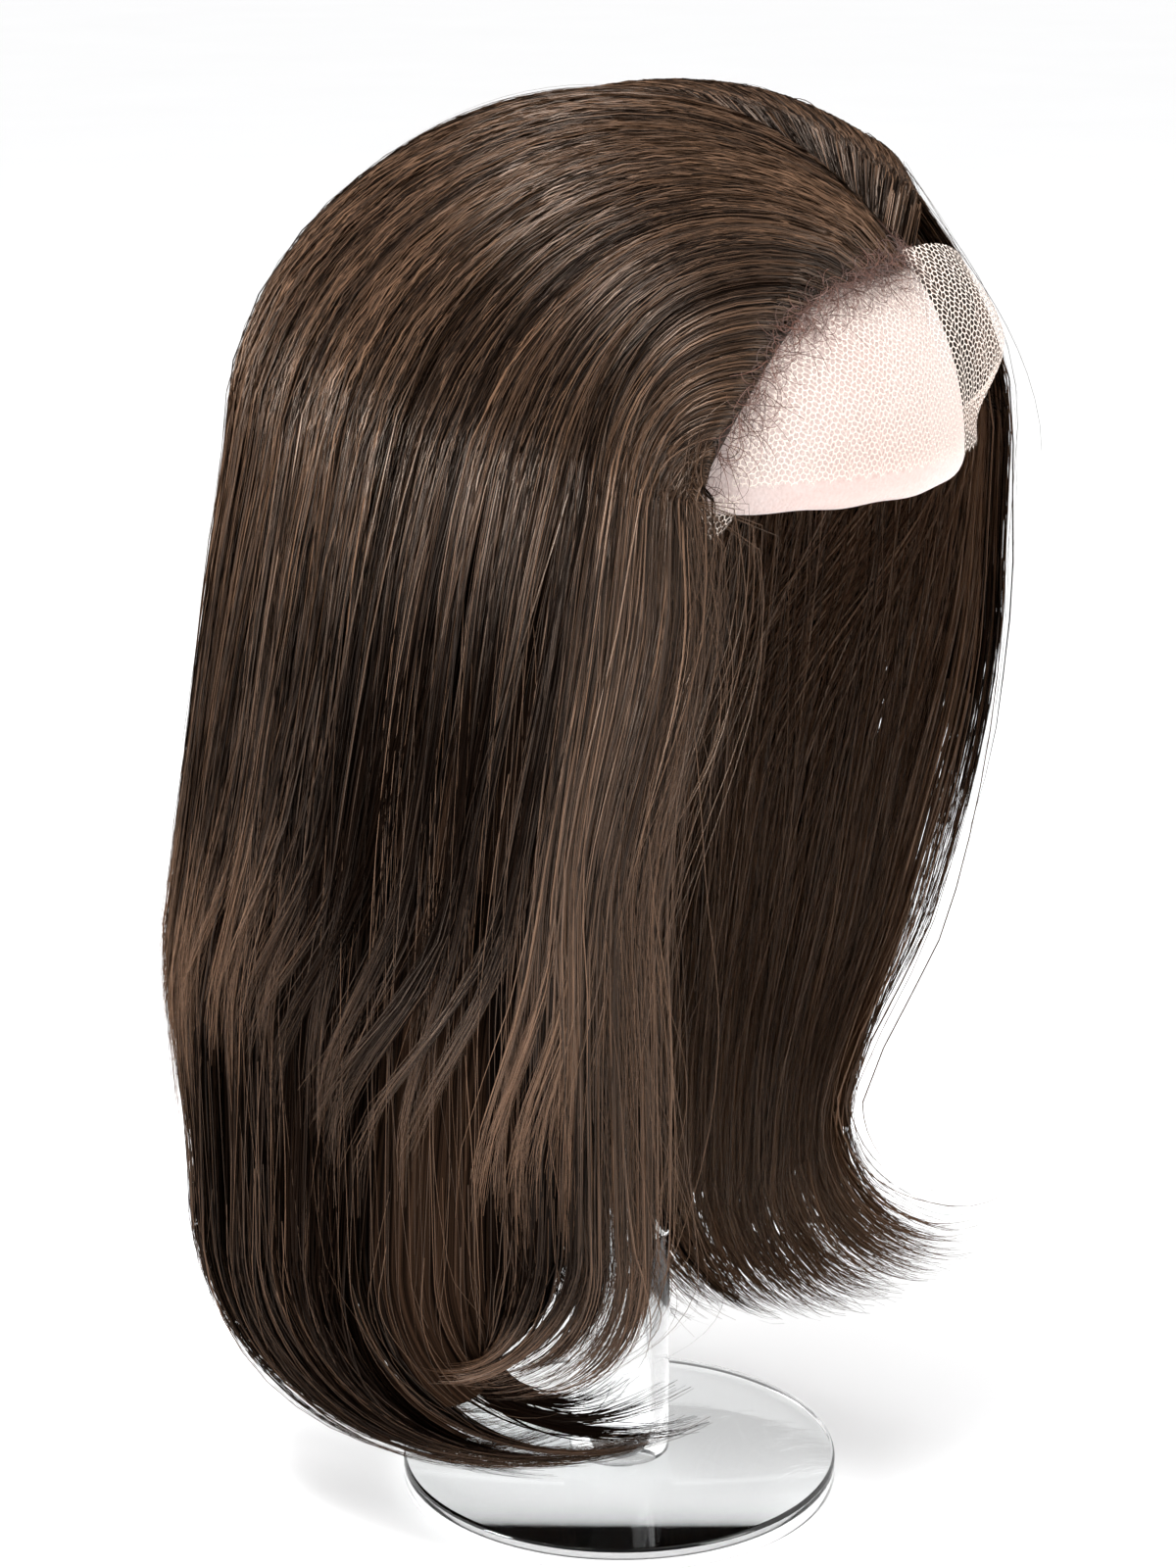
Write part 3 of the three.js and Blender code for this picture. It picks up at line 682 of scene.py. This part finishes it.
shades = {
    # tone changes of painted light, painted shade and paler ends: amount, then steps in along and in
    # azimuth, each from none to full
    "top": [
        # painted light: lighter from azimuth 96 round the back and the wearer's left
        (0.12, [], [(96, 125)]),
        # painted light: lighter roots at the top front
        (0.4, [(0.5, 0.1)], [(80, 95), (130, 115)]),
        # painted shade: darker roots in the part
        (-0.5, [(0.14, 0)], [(122, 138)]),
        # painted shade: darker where the top layer hangs, from azimuth 66 on
        (-0.19, [(1.05, 1.4)], [(66, 84)]),
        # painted shade: darker still on the wearer's right side where it hangs
        (-0.36, [(1.05, 1.4)], [(66, 84), (122, 98)]),
        # paler towards the ends
        (0.6, [(1.5, 2.0)], []),
    ],
    "long": [
        # painted shade: darker on the wearer's right side
        (-0.2, [], [(66, 84), (122, 98)]),
        # painted shade: the hollow between the front lock and the curls
        (-0.5, [(1.6, 1.9), (2.5, 2.2)], [(58, 66), (96, 84)]),
        # paler at the curls' ends
        (0.45, [(2.45, 2.9)], [(60, 75), (190, 170)]),
    ],
}
hairPieces = [
    # name, base, from, to, count, nodes, changes
    ("hairTopRight", topSpec, 50.6, 179.9, 5400, ["hair_top_right"], {}),
    ("hairTopLeft", topSpec, 180.1, 311.6, 2700, ["hair_top_left"], {"wild": 0.04, "loose": 0.0006}),
    # the front lock's raised tone is painted light
    ("hairFrontRight", longSpec, 51, 71, 950, ["hair_front_right"],
     {"outer": 0.5, "gather": 0.45, "end": (2.15, 3.1), "tone": 0.72, "thinFront": 1.0, "loose": 0.003}),
    ("hairInnerRight", longSpec, 66, 98, 520, [],
     {"outer": 0, "inside": 0.5, "sink": 0.0075, "hollow": 1.2, "bow": 8, "end": (2.6, 3.1),
      "width": (0.0005, 0.001)}),
    ("hairBackRight", longSpec, 91, 180, 2300, ["hair_back_right"],
     {"outer": 0.45, "hollow": 1, "bow": 11, "lock": 7.5, "gather": 0.72, "lean": 4.5, "swing": 3.6,
      "end": (2.5, 3.15)}),
    ("hairBackLeft", longSpec, 180, 255, 1350, ["hair_back_left"], {"inside": 0.5, "tone": 0.75}),
    # on the far side the raised tone and paleEnds are painted light
    ("hairSideLeft", longSpec, 254, 292, 900, ["hair_side_left"],
     {"end": (2.2, 3.0), "inside": 0.55, "sweep": -12, "dive": -30, "tone": 1.05, "paleEnds": 0.8,
      "lock": 5, "loose": 0.0028}),
    ("hairFrontLeft", longSpec, 291, 311.5, 700, ["hair_front_left"],
     {"inside": 0.5, "sweep": -14, "dive": -45, "gather": 0.92, "lean": 3.5, "lock": 7.5, "tone": 1.1,
      "paleEnds": 0.8, "loose": 0.0028}),
]
beds = {
    # name: layer, from, to, rows, columns, sunk, first and last along, bow
    "hairTopRight": ("top", 53.5, 179, 44, 80, 0.0026, 0.0, 1.6, 6),
    "hairTopLeft": ("top", 181, 309.5, 44, 80, 0.0026, 0.0, 1.5, 0),
    "hairFrontRight": ("long", 54, 69.5, 44, 16, 0.0024, 0.9, 1.9, 0),
    "hairInnerRight": ("long", 68, 96, 48, 20, 0.0044, 0.9, 2.45, 8),
    "hairBackRight": ("long", 94, 179.5, 44, 50, 0.003, 0.9, 2.6, 11),
    "hairBackLeft": ("long", 180.5, 255.5, 44, 44, 0.0024, 0.9, 2.5, 0),
    "hairSideLeft": ("long", 254, 283, 44, 24, 0.0024, 0.9, 2.1, 0),
    "hairFrontLeft": ("long", 293, 306, 34, 12, 0.0024, 0.9, 1.35, 0),
}


# The dense hair under the loose strands: one streaked surface
def bed(name, layer, low, high, rows, columns, sunk, first, last, bow, material):
    at = np.linspace(low, high, columns)[None, :] + np.zeros((rows, 1))
    along = np.linspace(first, last, rows)[:, None] + np.zeros((1, columns))
    turned = at + bowed(at, along, bow)
    out = -sunk + 0.0006 * waves(5, at, along * 1.5) * smooth(along, 0.1, 1.0)
    if layer == "top":
        place = topPoint(turned, along, out, 0.6 + 0 * at)
    else:
        place = longPoint(turned, along, out, hairSize["topWall"] + 0.001 + 0 * at)
    run = np.cumsum(np.linalg.norm(np.diff(place, axis=0, prepend=place[:1]), axis=-1), 0)
    attributes = {
        "across": (at * 1.7)[None],
        "along": run[None],
        "side": unit(np.gradient(place, axis=1))[None],
    }
    return meshFromGrid(name, place[None], material, attributes)


bedLook = {"dark": rgb(0.002, 0.0011, 0.0007), "pale": rgb(0.026, 0.014, 0.0085), "relief": 4}


def bedFinish():
    finish = Finish("hairBedFinish")
    across, along = finish.attribute("across"), finish.attribute("along")
    side = finish.attribute("side", "Vector")
    fine = finish.noise(finish.point(across * 5, along * 6, 1.7), 1.0, 4.0)
    broad = finish.noise(finish.point(across * 0.6, along * 5, 9.1), 1.0, 1.0)
    light = (fine * 0.8 + broad * 0.6 - 0.45).ramp(0.0, 0.6)
    return finish.surface({
        "Base Color": finish.mixColour(light, bedLook["dark"], bedLook["pale"]),
        "Roughness": 0.6,
        "Specular IOR Level": 0.0,
        "Normal": finish.leanedNormal(side, (fine - 0.5) * bedLook["relief"]),
    })


def makeHair():
    under = bedFinish()
    for name, base, low, high, count, nodes, changes in hairPieces:
        spec = {**base, "from": low, "to": high, "count": count, **changes}
        piece = strands(name, spec, len(name) * 101 + int(low), strandFinish)
        backing = bed(name + "Bed", *beds[name], under)
        backing.parent = piece
        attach(piece, "root")
        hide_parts(*nodes)
        print("hair", name, count)


# Stand

standSize = {
    "baseRadius": 0.065, "baseHeight": 0.008, "baseEdge": 0.0012,
    "tubeRadius": 0.015, "tubeWall": 0.005, "tubeRim": 0.0795, "tubeEdge": 0.0006,
    "rodRadius": 0.009, "rodTop": 0.3397,
    "clearance": 0.0003,                         # between the base and what stands on it
}


def turnedPiece(name, profile, sides, material):
    profile = np.array(profile, float)
    turn = np.linspace(0, 2 * np.pi, sides, endpoint=False)
    ring = np.stack([np.cos(turn), np.sin(turn)], -1)
    points = np.zeros((1, len(profile), sides, 3))
    points[0, :, :, :2] = profile[:, None, :1] * ring[None]
    points[0, :, :, 2] = profile[:, None, 1]
    return meshFromGrid(name, points, material, closed=True)


def acrylicFinish():
    finish = Finish("clearAcrylicFinish")
    place = finish.node("ShaderNodeTexCoord", out="Object")
    haze = finish.noise(place, 40.0, 3.0)
    solid = finish.node("ShaderNodeBsdfPrincipled", None, {
        "Base Color": rgb(0.985, 0.99, 0.99),
        "Roughness": haze * 0.03 + 0.01,
        "IOR": 1.49,
        "Transmission Weight": 1.0,
    })
    passing = finish.node("ShaderNodeBsdfTransparent", None, {"Color": rgb(0.94, 0.95, 0.95)})
    shadow = finish.node("ShaderNodeLightPath", out="Is Shadow Ray")
    return finish.shown(finish.node("ShaderNodeMixShader", None, {0: shadow, 1: solid, 2: passing}))


def makeStand():
    clear = acrylicFinish()
    size = standSize
    r, h, e = size["baseRadius"], size["baseHeight"], size["baseEdge"]
    low = [(1e-5, 0.0), (r - e, 0.0)] + [(r - e + e * math.sin(a), e - e * math.cos(a))
                                      for a in np.linspace(0.3, np.pi / 2, 4)]
    high = [(r - e + e * math.cos(a), h - e + e * math.sin(a)) for a in np.linspace(0, np.pi / 2, 5)]
    base = turnedPiece("clearBase", low + high + [(1e-5, h)], 128, clear)
    foot = h + size["clearance"]
    out, bore, rim = size["tubeRadius"], size["tubeRadius"] - size["tubeWall"], size["tubeRim"]
    b = size["tubeEdge"]
    tube = turnedPiece("clearTube", [
        (bore, foot), (out - b, foot), (out, foot + b), (out, rim - b), (out - 0.3 * b, rim - 0.3 * b),
        (out - b, rim), (bore + b, rim), (bore + 0.3 * b, rim - 0.3 * b), (bore, rim - b), (bore, foot)],
        96, clear)
    q = size["rodRadius"]
    end = [(max(q * math.sin(a), 1e-5), foot + q * (1 - math.cos(a))) for a in np.linspace(0, np.pi / 2, 12)]
    rod = turnedPiece("clearRod", end + [(q, size["rodTop"]), (1e-5, size["rodTop"])], 64, clear)
    for piece, node in ((base, "stand_base"), (tube, "stand_tube"), (rod, "stand_rod")):
        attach(piece, "root")
        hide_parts(node)
    print("stand")


padLook = {
    "colour": rgb(0.56, 0.42, 0.385),
    "pale": rgb(0.62, 0.53, 0.505),
    "knit": 0.0011,                              # width of a stitch
    "pucker": 0.0003,                            # how far the lower edge waves
}


def padFinish():
    finish = Finish("padFinish")
    place = finish.node("ShaderNodeTexCoord", out="Object")
    knit = finish.node("ShaderNodeTexVoronoi", None, {"Vector": place, "Scale": 1 / padLook["knit"]})
    fuzz = finish.noise(place, 900.0, 3.0)
    patch = finish.noise(place, 22.0, 2.0)
    share = (patch * 1.2 + fuzz * 0.5 - 0.35).ramp(0.1, 0.9)
    return finish.surface({
        "Base Color": finish.mixColour(share, padLook["colour"], padLook["pale"]),
        "Roughness": 0.9,
        "Specular IOR Level": 0.25,
        "Sheen Weight": 0.35,
        "Sheen Roughness": 0.4,
        "Normal": finish.bump(fuzz * 0.6 - knit, 0.0003, 0.55),
    })


def makeDome():
    pad = padFinish()
    sides = 144
    turn = np.linspace(0, 2 * np.pi, sides, endpoint=False)
    rows = []
    for a in np.linspace(0.002, np.pi / 2, 40):
        rows.append((math.sin(a), 0.0, head["edge"] + math.cos(a) * head["height"]))
    for a in np.linspace(0, np.pi / 2, 9)[1:]:
        rows.append((1.0, head["skirt"] * (1 - math.cos(a)), head["edge"] - head["skirt"] * math.sin(a)))
    for share in (0.8, 0.5, 0.15):
        rows.append((share, head["skirt"] * share, head["edge"] - head["skirt"]))
    points = np.zeros((1, len(rows), sides, 3))
    for j, (share, inset, z) in enumerate(rows):
        pucker = padLook["pucker"] * np.sin(turn * 17 + 1.3 * np.sin(turn * 3)) \
            * smooth(z, head["edge"], head["edge"] - head["skirt"])
        points[0, j, :, 0] = np.cos(turn) * (share * head["width"] / 2 - inset)
        points[0, j, :, 1] = np.sin(turn) * (share * head["length"] / 2 - inset)
        points[0, j, :, 2] = z + pucker
    dome = meshFromGrid("paddedDome", points, pad, closed=True)
    dome.data.flip_normals()
    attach(dome, "root")
    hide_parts("stand_dome")
    print("dome")


# Foundation and lace

def earToEar(side, over):
    s, o = np.radians(side), np.radians(over)
    return np.stack([np.sin(s) + 0 * o, -np.cos(s) * np.cos(o), np.cos(s) * np.sin(o)], -1)


def hairline(azimuth):
    return lace["hairlineHeight"] * (1 - np.minimum(np.abs(azimuth) / lace["hairlineEnd"], 1) ** 3)


def hairlineOver(side):
    low, high = np.zeros_like(side), np.full_like(side, 90.0)
    for _ in range(30):
        middle = (low + high) / 2
        way = earToEar(side, middle)
        azimuth = np.degrees(np.arctan2(-way[..., 0], -way[..., 1]))
        above = np.degrees(np.arcsin(way[..., 2])) > hairline(azimuth)
        high = np.where(above, middle, high)
        low = np.where(above, low, middle)
    return (low + high) / 2


def sheetGrid(ways, growth):
    place = overHead(ways, growth)
    right = np.cumsum(np.linalg.norm(np.diff(place, axis=1, prepend=place[:, :1]), axis=-1), 1)
    up = np.cumsum(np.linalg.norm(np.diff(place, axis=0, prepend=place[:1]), axis=-1), 0)
    return place, np.stack([right, up], -1)


def makeCap():
    finish = Finish("foundationFinish")
    where = finish.node("ShaderNodeTexCoord", out="Object")
    net = finish.noise(where, 1400.0, 2.0)
    material = finish.surface({
        "Base Color": finish.mixColour(net, rgb(0.02, 0.014, 0.01), rgb(0.06, 0.042, 0.032)),
        "Roughness": 0.9,
        "Normal": finish.bump(net, 0.0004, 0.6),
    })
    side = np.linspace(-76, 76, 60)[None, :] + np.zeros((60, 1))
    front = np.maximum(hairlineOver(side), 1.0)
    over = mix(front, 179, np.linspace(0, 1, 60)[:, None])
    place, _ = sheetGrid(earToEar(side, over), lace["foot"] + 0.0012 + 0 * side)
    cap = meshFromGrid("foundation", place[None], material)
    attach(cap, "root")
    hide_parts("cap")


laceLook = {
    "thread": rgb(0.70, 0.60, 0.53),
    "pitch": 0.00175,                            # between the holes of the net
    "threadShare": 0.09,
}


def laceFinish():
    finish = Finish("laceFinish")
    where = finish.node("ShaderNodeUVMap", {"uv_map": "UVMap"})
    split = finish.node("ShaderNodeSeparateXYZ", None, {0: where})
    x = Wire(finish, split.socket.node.outputs[0]) / laceLook["pitch"]
    y = Wire(finish, split.socket.node.outputs[1]) / laceLook["pitch"]
    tall = math.sqrt(3)
    ax, ay = x.wrapped(1.0) - 0.5, y.wrapped(tall) - tall / 2
    bx, by = (x - 0.5).wrapped(1.0) - 0.5, (y - tall / 2).wrapped(tall) - tall / 2
    reachA = abs(ax).higher(abs(ax) * 0.5 + abs(ay) * (tall / 2))
    reachB = abs(bx).higher(abs(bx) * 0.5 + abs(by) * (tall / 2))
    reach = reachA.lower(reachB)
    thread = reach.ramp(0.5 - laceLook["threadShare"] - 0.05, 0.5 - laceLook["threadShare"] + 0.03)
    return finish.surface({
        "Base Color": laceLook["thread"],
        "Roughness": 0.7,
        "Specular IOR Level": 0.3,
        "Alpha": thread * 0.96 + 0.03,
        "Normal": finish.bump(thread, 0.0002, 0.6),
    })


def makeLace():
    material = laceFinish()
    columns, rows = 220, 70
    side = np.linspace(-45, 45, columns)[None, :] + np.zeros((rows, 1))
    free = np.linspace(1, 0, rows)[:, None] + 0 * side
    back = hairlineOver(side) + 2.0
    scallop = 1.2 + 1.1 * np.abs(np.sin(side * 0.9)) ** 0.6
    over = mix(back, scallop, free)
    belly = mix(0.85, 1, smooth(free, 0, 0.35)) * mix(1, 0.1, smooth(free, 0.42, 0.9))
    away = smooth(side, 2, 26) * belly
    ripple = 1 + 0.12 * np.sin(side / 3.2) * free
    growth = lace["foot"] + lace["wall"] * 0.6 + lace["standOff"] * away * ripple
    place, uv = sheetGrid(earToEar(side, over), growth)
    front = meshFromGrid("laceFront", place[None], material, uv=uv[None])
    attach(front, "root")
    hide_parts("lace_front")
    for name, node, sign in (("earTabRight", "ear_tab_right", 1), ("earTabLeft", "ear_tab_left", -1)):
        across = np.linspace(-1, 1, 24)[None, :] + np.zeros((16, 1))
        down = np.linspace(0, 1, 16)[:, None] + 0 * across
        half = math.degrees(0.016 / head["length"])
        azimuth = sign * 48.5 + across * half * (1 - 0.45 * down**2)
        drop = 0.011 * down * (1 - 0.3 * across**2) - 0.0006 * (1 - down)
        tabPlace = besideHead(azimuth, lace["foot"] + 0.0007 + 0 * azimuth, drop)
        tabUv = np.stack([across * 0.008, down * 0.011], -1)
        tab = meshFromGrid(name, tabPlace[None], material, uv=tabUv[None])
        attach(tab, "root")
        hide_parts(node)


# The hair that grows from the wearer's left half of the hairline, behind the lifted lace
fringe = {"count": 620, "rows": 16, "roots": (-13, -49), "hang": (297, 309), "bendHeight": (48, 10)}


def makeFringe():
    dice = np.random.default_rng(19)
    count, rows = fringe["count"], fringe["rows"]
    far = dice.uniform(0, 1, (count, 1))
    t = np.linspace(0, 1, rows)[None, :] * dice.uniform(0.8, 1.25, (count, 1))
    rootAzimuth = mix(*fringe["roots"], far)
    root = direction(rootAzimuth, hairline(rootAzimuth) + dice.uniform(0.3, 5, (count, 1)))
    hangAt = mix(*fringe["hang"], far) + dice.normal(0, 1.2, (count, 1))
    bend = direction(mix(rootAzimuth, hangAt - 360, 0.75), mix(*fringe["bendHeight"], far))
    end = direction(hangAt, 0 * hangAt)
    u = np.clip(t, 0, 1)[..., None]
    way = unit(root * (1 - u) ** 2 + bend * 2 * u * (1 - u) + end * u * u)
    leave = read(growthGuide, hangAt) * hairSize["depth"]
    deeper = dice.uniform(0.0005, 0.004, (count, 1))
    growth = mix(hairSize["scalp"] + 0.002 * smooth(t, 0, 0.1), leave - deeper, eased(np.clip(t, 0, 1)))
    place = overHead(way, growth)
    below = besideHead(hangAt + 0 * t, leave - deeper + 0 * t, np.maximum(t - 1, 0) * 0.25)
    place = np.where((t <= 1)[..., None], place, below)
    ahead = unit(place - np.array([0, 0, head["edge"] - 0.02]))
    width = dice.uniform(0.0003, 0.0008, (count, 1)) * (0.4 + 0.6 * smooth(t, 0, 0.1))
    piece = ribbons("hairFringe", place, ahead, width, dice.normal(0, 0.4, count), dice.random(count),
                    np.clip(dice.normal(0.45, 0.2, count), 0, 1), strandFinish)
    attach(piece, "root")
    print("fringe", count)


# Loose single hairs and the short hairs of the hairline

looseHair = {
    "count": 1600, "rows": 18, "width": 0.0002, "around": (51, 311),
    # first and last hair, and from and to in azimuth; the rest start anywhere round the head
    "places": [(0, 420, 51, 60), (420, 560, 300, 311), (560, 900, 58, 150), (1150, 1600, 256, 308)],
    "firstInner": 1150,                          # from here on they hang inside the far side
    "innerDepth": 0.0075, "innerSweep": 14,
    "frontSwing": 4,                             # degrees by which the front ones cross the edge
}


def makeLoose():
    dice = np.random.default_rng(77)
    count, rows = looseHair["count"], looseHair["rows"]
    share = np.linspace(0, 1, rows)[None, :]
    at = dice.uniform(*looseHair["around"], count)
    for first, last, low, high in looseHair["places"]:
        at[first:last] = dice.uniform(low, high, last - first)
    inner = (np.arange(count) >= looseHair["firstInner"])[:, None]
    at = at[:, None]
    start = np.where(inner, dice.uniform(1.0, 1.8, (count, 1)), dice.uniform(0.1, 2.0, (count, 1)))
    along = np.minimum(start + dice.uniform(0.4, 1.3, (count, 1)) * share, 3.0)
    rising = dice.gamma(1.6, 0.0006, (count, 1))
    out = 0.0004 + rising * np.sin(np.pi * share ** 0.8)
    out = np.where(inner, -looseHair["innerDepth"] - out * 2, out)
    swing = dice.normal(0, 3.5, (count, 1)) * share \
        + dice.normal(0, 1.6, (count, 1)) * np.sin(share * dice.uniform(2, 6, (count, 1)))
    swing = np.where(inner, swing * 2 - looseHair["innerSweep"] * share * dice.random((count, 1)), swing)
    crossing = np.abs(dice.normal(looseHair["frontSwing"], 4, (count, 1))) * np.sin(np.pi * share)
    turned = at + swing - smooth(at, 61, 60) * crossing
    # on the head they stay behind the hairline
    turned = np.where(along < 1, np.maximum(turned, looseHair["around"][0] + 0.5), turned)
    sink = 0.0005 + 0 * at
    place = longPoint(turned, along, out, sink)
    ahead = outward(longPoint, turned, along, out, sink)
    width = looseHair["width"] * (1 - 0.6 * share) * dice.uniform(0.7, 1.3, (count, 1))
    loose = ribbons("looseHairs", place, ahead, width, dice.normal(0, 0.6, count), dice.random(count),
                    dice.uniform(0.5, 1, count), strandFinish)
    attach(loose, "root")
    print("loose hairs", count)


shortHair = {
    "count": 800, "rows": 12, "length": (0.005, 0.016), "width": 0.0002,
    "along": (-16, 50),                          # the part of the hairline that shows
    "off": 0.0018,                               # how far the roots are off the lace
    "dark": rgb(0.03, 0.011, 0.007),
    "pale": rgb(0.12, 0.046, 0.028),
}


def makeBabyHairs():
    finish = Finish("babyHairFinish")
    tone = finish.attribute("tone")
    material = finish.surface({
        "Base Color": finish.mixColour(tone, shortHair["dark"], shortHair["pale"]),
        "Roughness": 0.5,
    })
    dice = np.random.default_rng(31)
    count, rows = shortHair["count"], shortHair["rows"]
    azimuth = dice.uniform(*shortHair["along"], count)
    below = dice.gamma(1.5, 1.1, count) - 1.4
    elevation = np.maximum(hairline(azimuth) - below, 0.5)
    way = direction(azimuth, elevation)
    off = lace["foot"] + shortHair["off"] + 0 * azimuth
    root = overHead(way, off)
    # the short hairs lean back from the hairline and curl
    up = unit(overHead(direction(azimuth + 3, elevation + 5), off) - root)
    away = unit(way)
    sideways = unit(np.cross(up, away))
    lean = dice.normal(0, 1.0, count) + np.where(dice.random(count) < 0.55, math.pi, 0)
    heading = up * np.cos(lean)[:, None] + sideways * np.sin(lean)[:, None]
    length = dice.uniform(*shortHair["length"], count)
    bend = dice.normal(0, 2.8, count)
    share = np.linspace(0, 1, rows)
    turn = bend[:, None] * share[None]
    cross = np.cross(heading, away)
    step = heading[:, None] * np.cos(turn)[..., None] + cross[:, None] * np.sin(turn)[..., None]
    place = root[:, None] + np.cumsum(step, 1) * (length / rows)[:, None, None]
    place = place + away[:, None] * (dice.uniform(0, 0.0014, (count, 1)) * np.sin(np.pi * share))[..., None]
    width = np.full((count, rows), shortHair["width"]) * (1 - 0.5 * share)
    ahead = np.broadcast_to(away[:, None], place.shape)
    baby = ribbons("babyHairs", place, ahead, width, dice.normal(0, 0.3, count), dice.random(count),
                   dice.random(count), material)
    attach(baby, "root")
    print("short hairs", count)


def makeStage():
    finish = Finish("floorFinish")
    where = finish.node("ShaderNodeTexCoord", out="Object")
    grain = finish.noise(where, 3.0, 2.0)
    material = finish.surface({
        "Base Color": finish.mixColour(grain, *light["floorColours"]),
        "Roughness": 0.9,
    })
    bpy.ops.mesh.primitive_plane_add(size=60)
    floor = bpy.context.object
    floor.name = "floor"
    floor.location.z = -0.0005
    floor.data.materials.append(material)
    studio = Finish("studio", bpy.data.worlds)
    scene.world = studio.material
    way = studio.vectorMaths("NORMALIZE", studio.node("ShaderNodeTexCoord", out="Generated"))
    split = studio.node("ShaderNodeSeparateXYZ", None, {0: way}).socket.node.outputs
    x, y, z = [Wire(studio, out) for out in split]
    dim = light["dimSide"]
    facing = x * dim[0] + y * dim[1] + z * dim[2]
    share = facing.ramp(0.2, 0.8)
    strength = share * (light["dimSky"] - light["sky"]) + light["sky"]
    sky = studio.node("ShaderNodeBackground", None, {"Color": rgb(1, 1, 1), "Strength": strength})
    studio.node("ShaderNodeOutputWorld", None, {"Surface": sky})
    for name, values in light["lamps"].items():
        makeLight(name, *values)
    scene.view_settings.view_transform = "Standard"


strandFinish = hairFinish("strandFinish")
makeCamera()
makeStage()
makeStand()
makeDome()
makeCap()
makeLace()
makeHair()
makeFringe()
makeLoose()
makeBabyHairs()
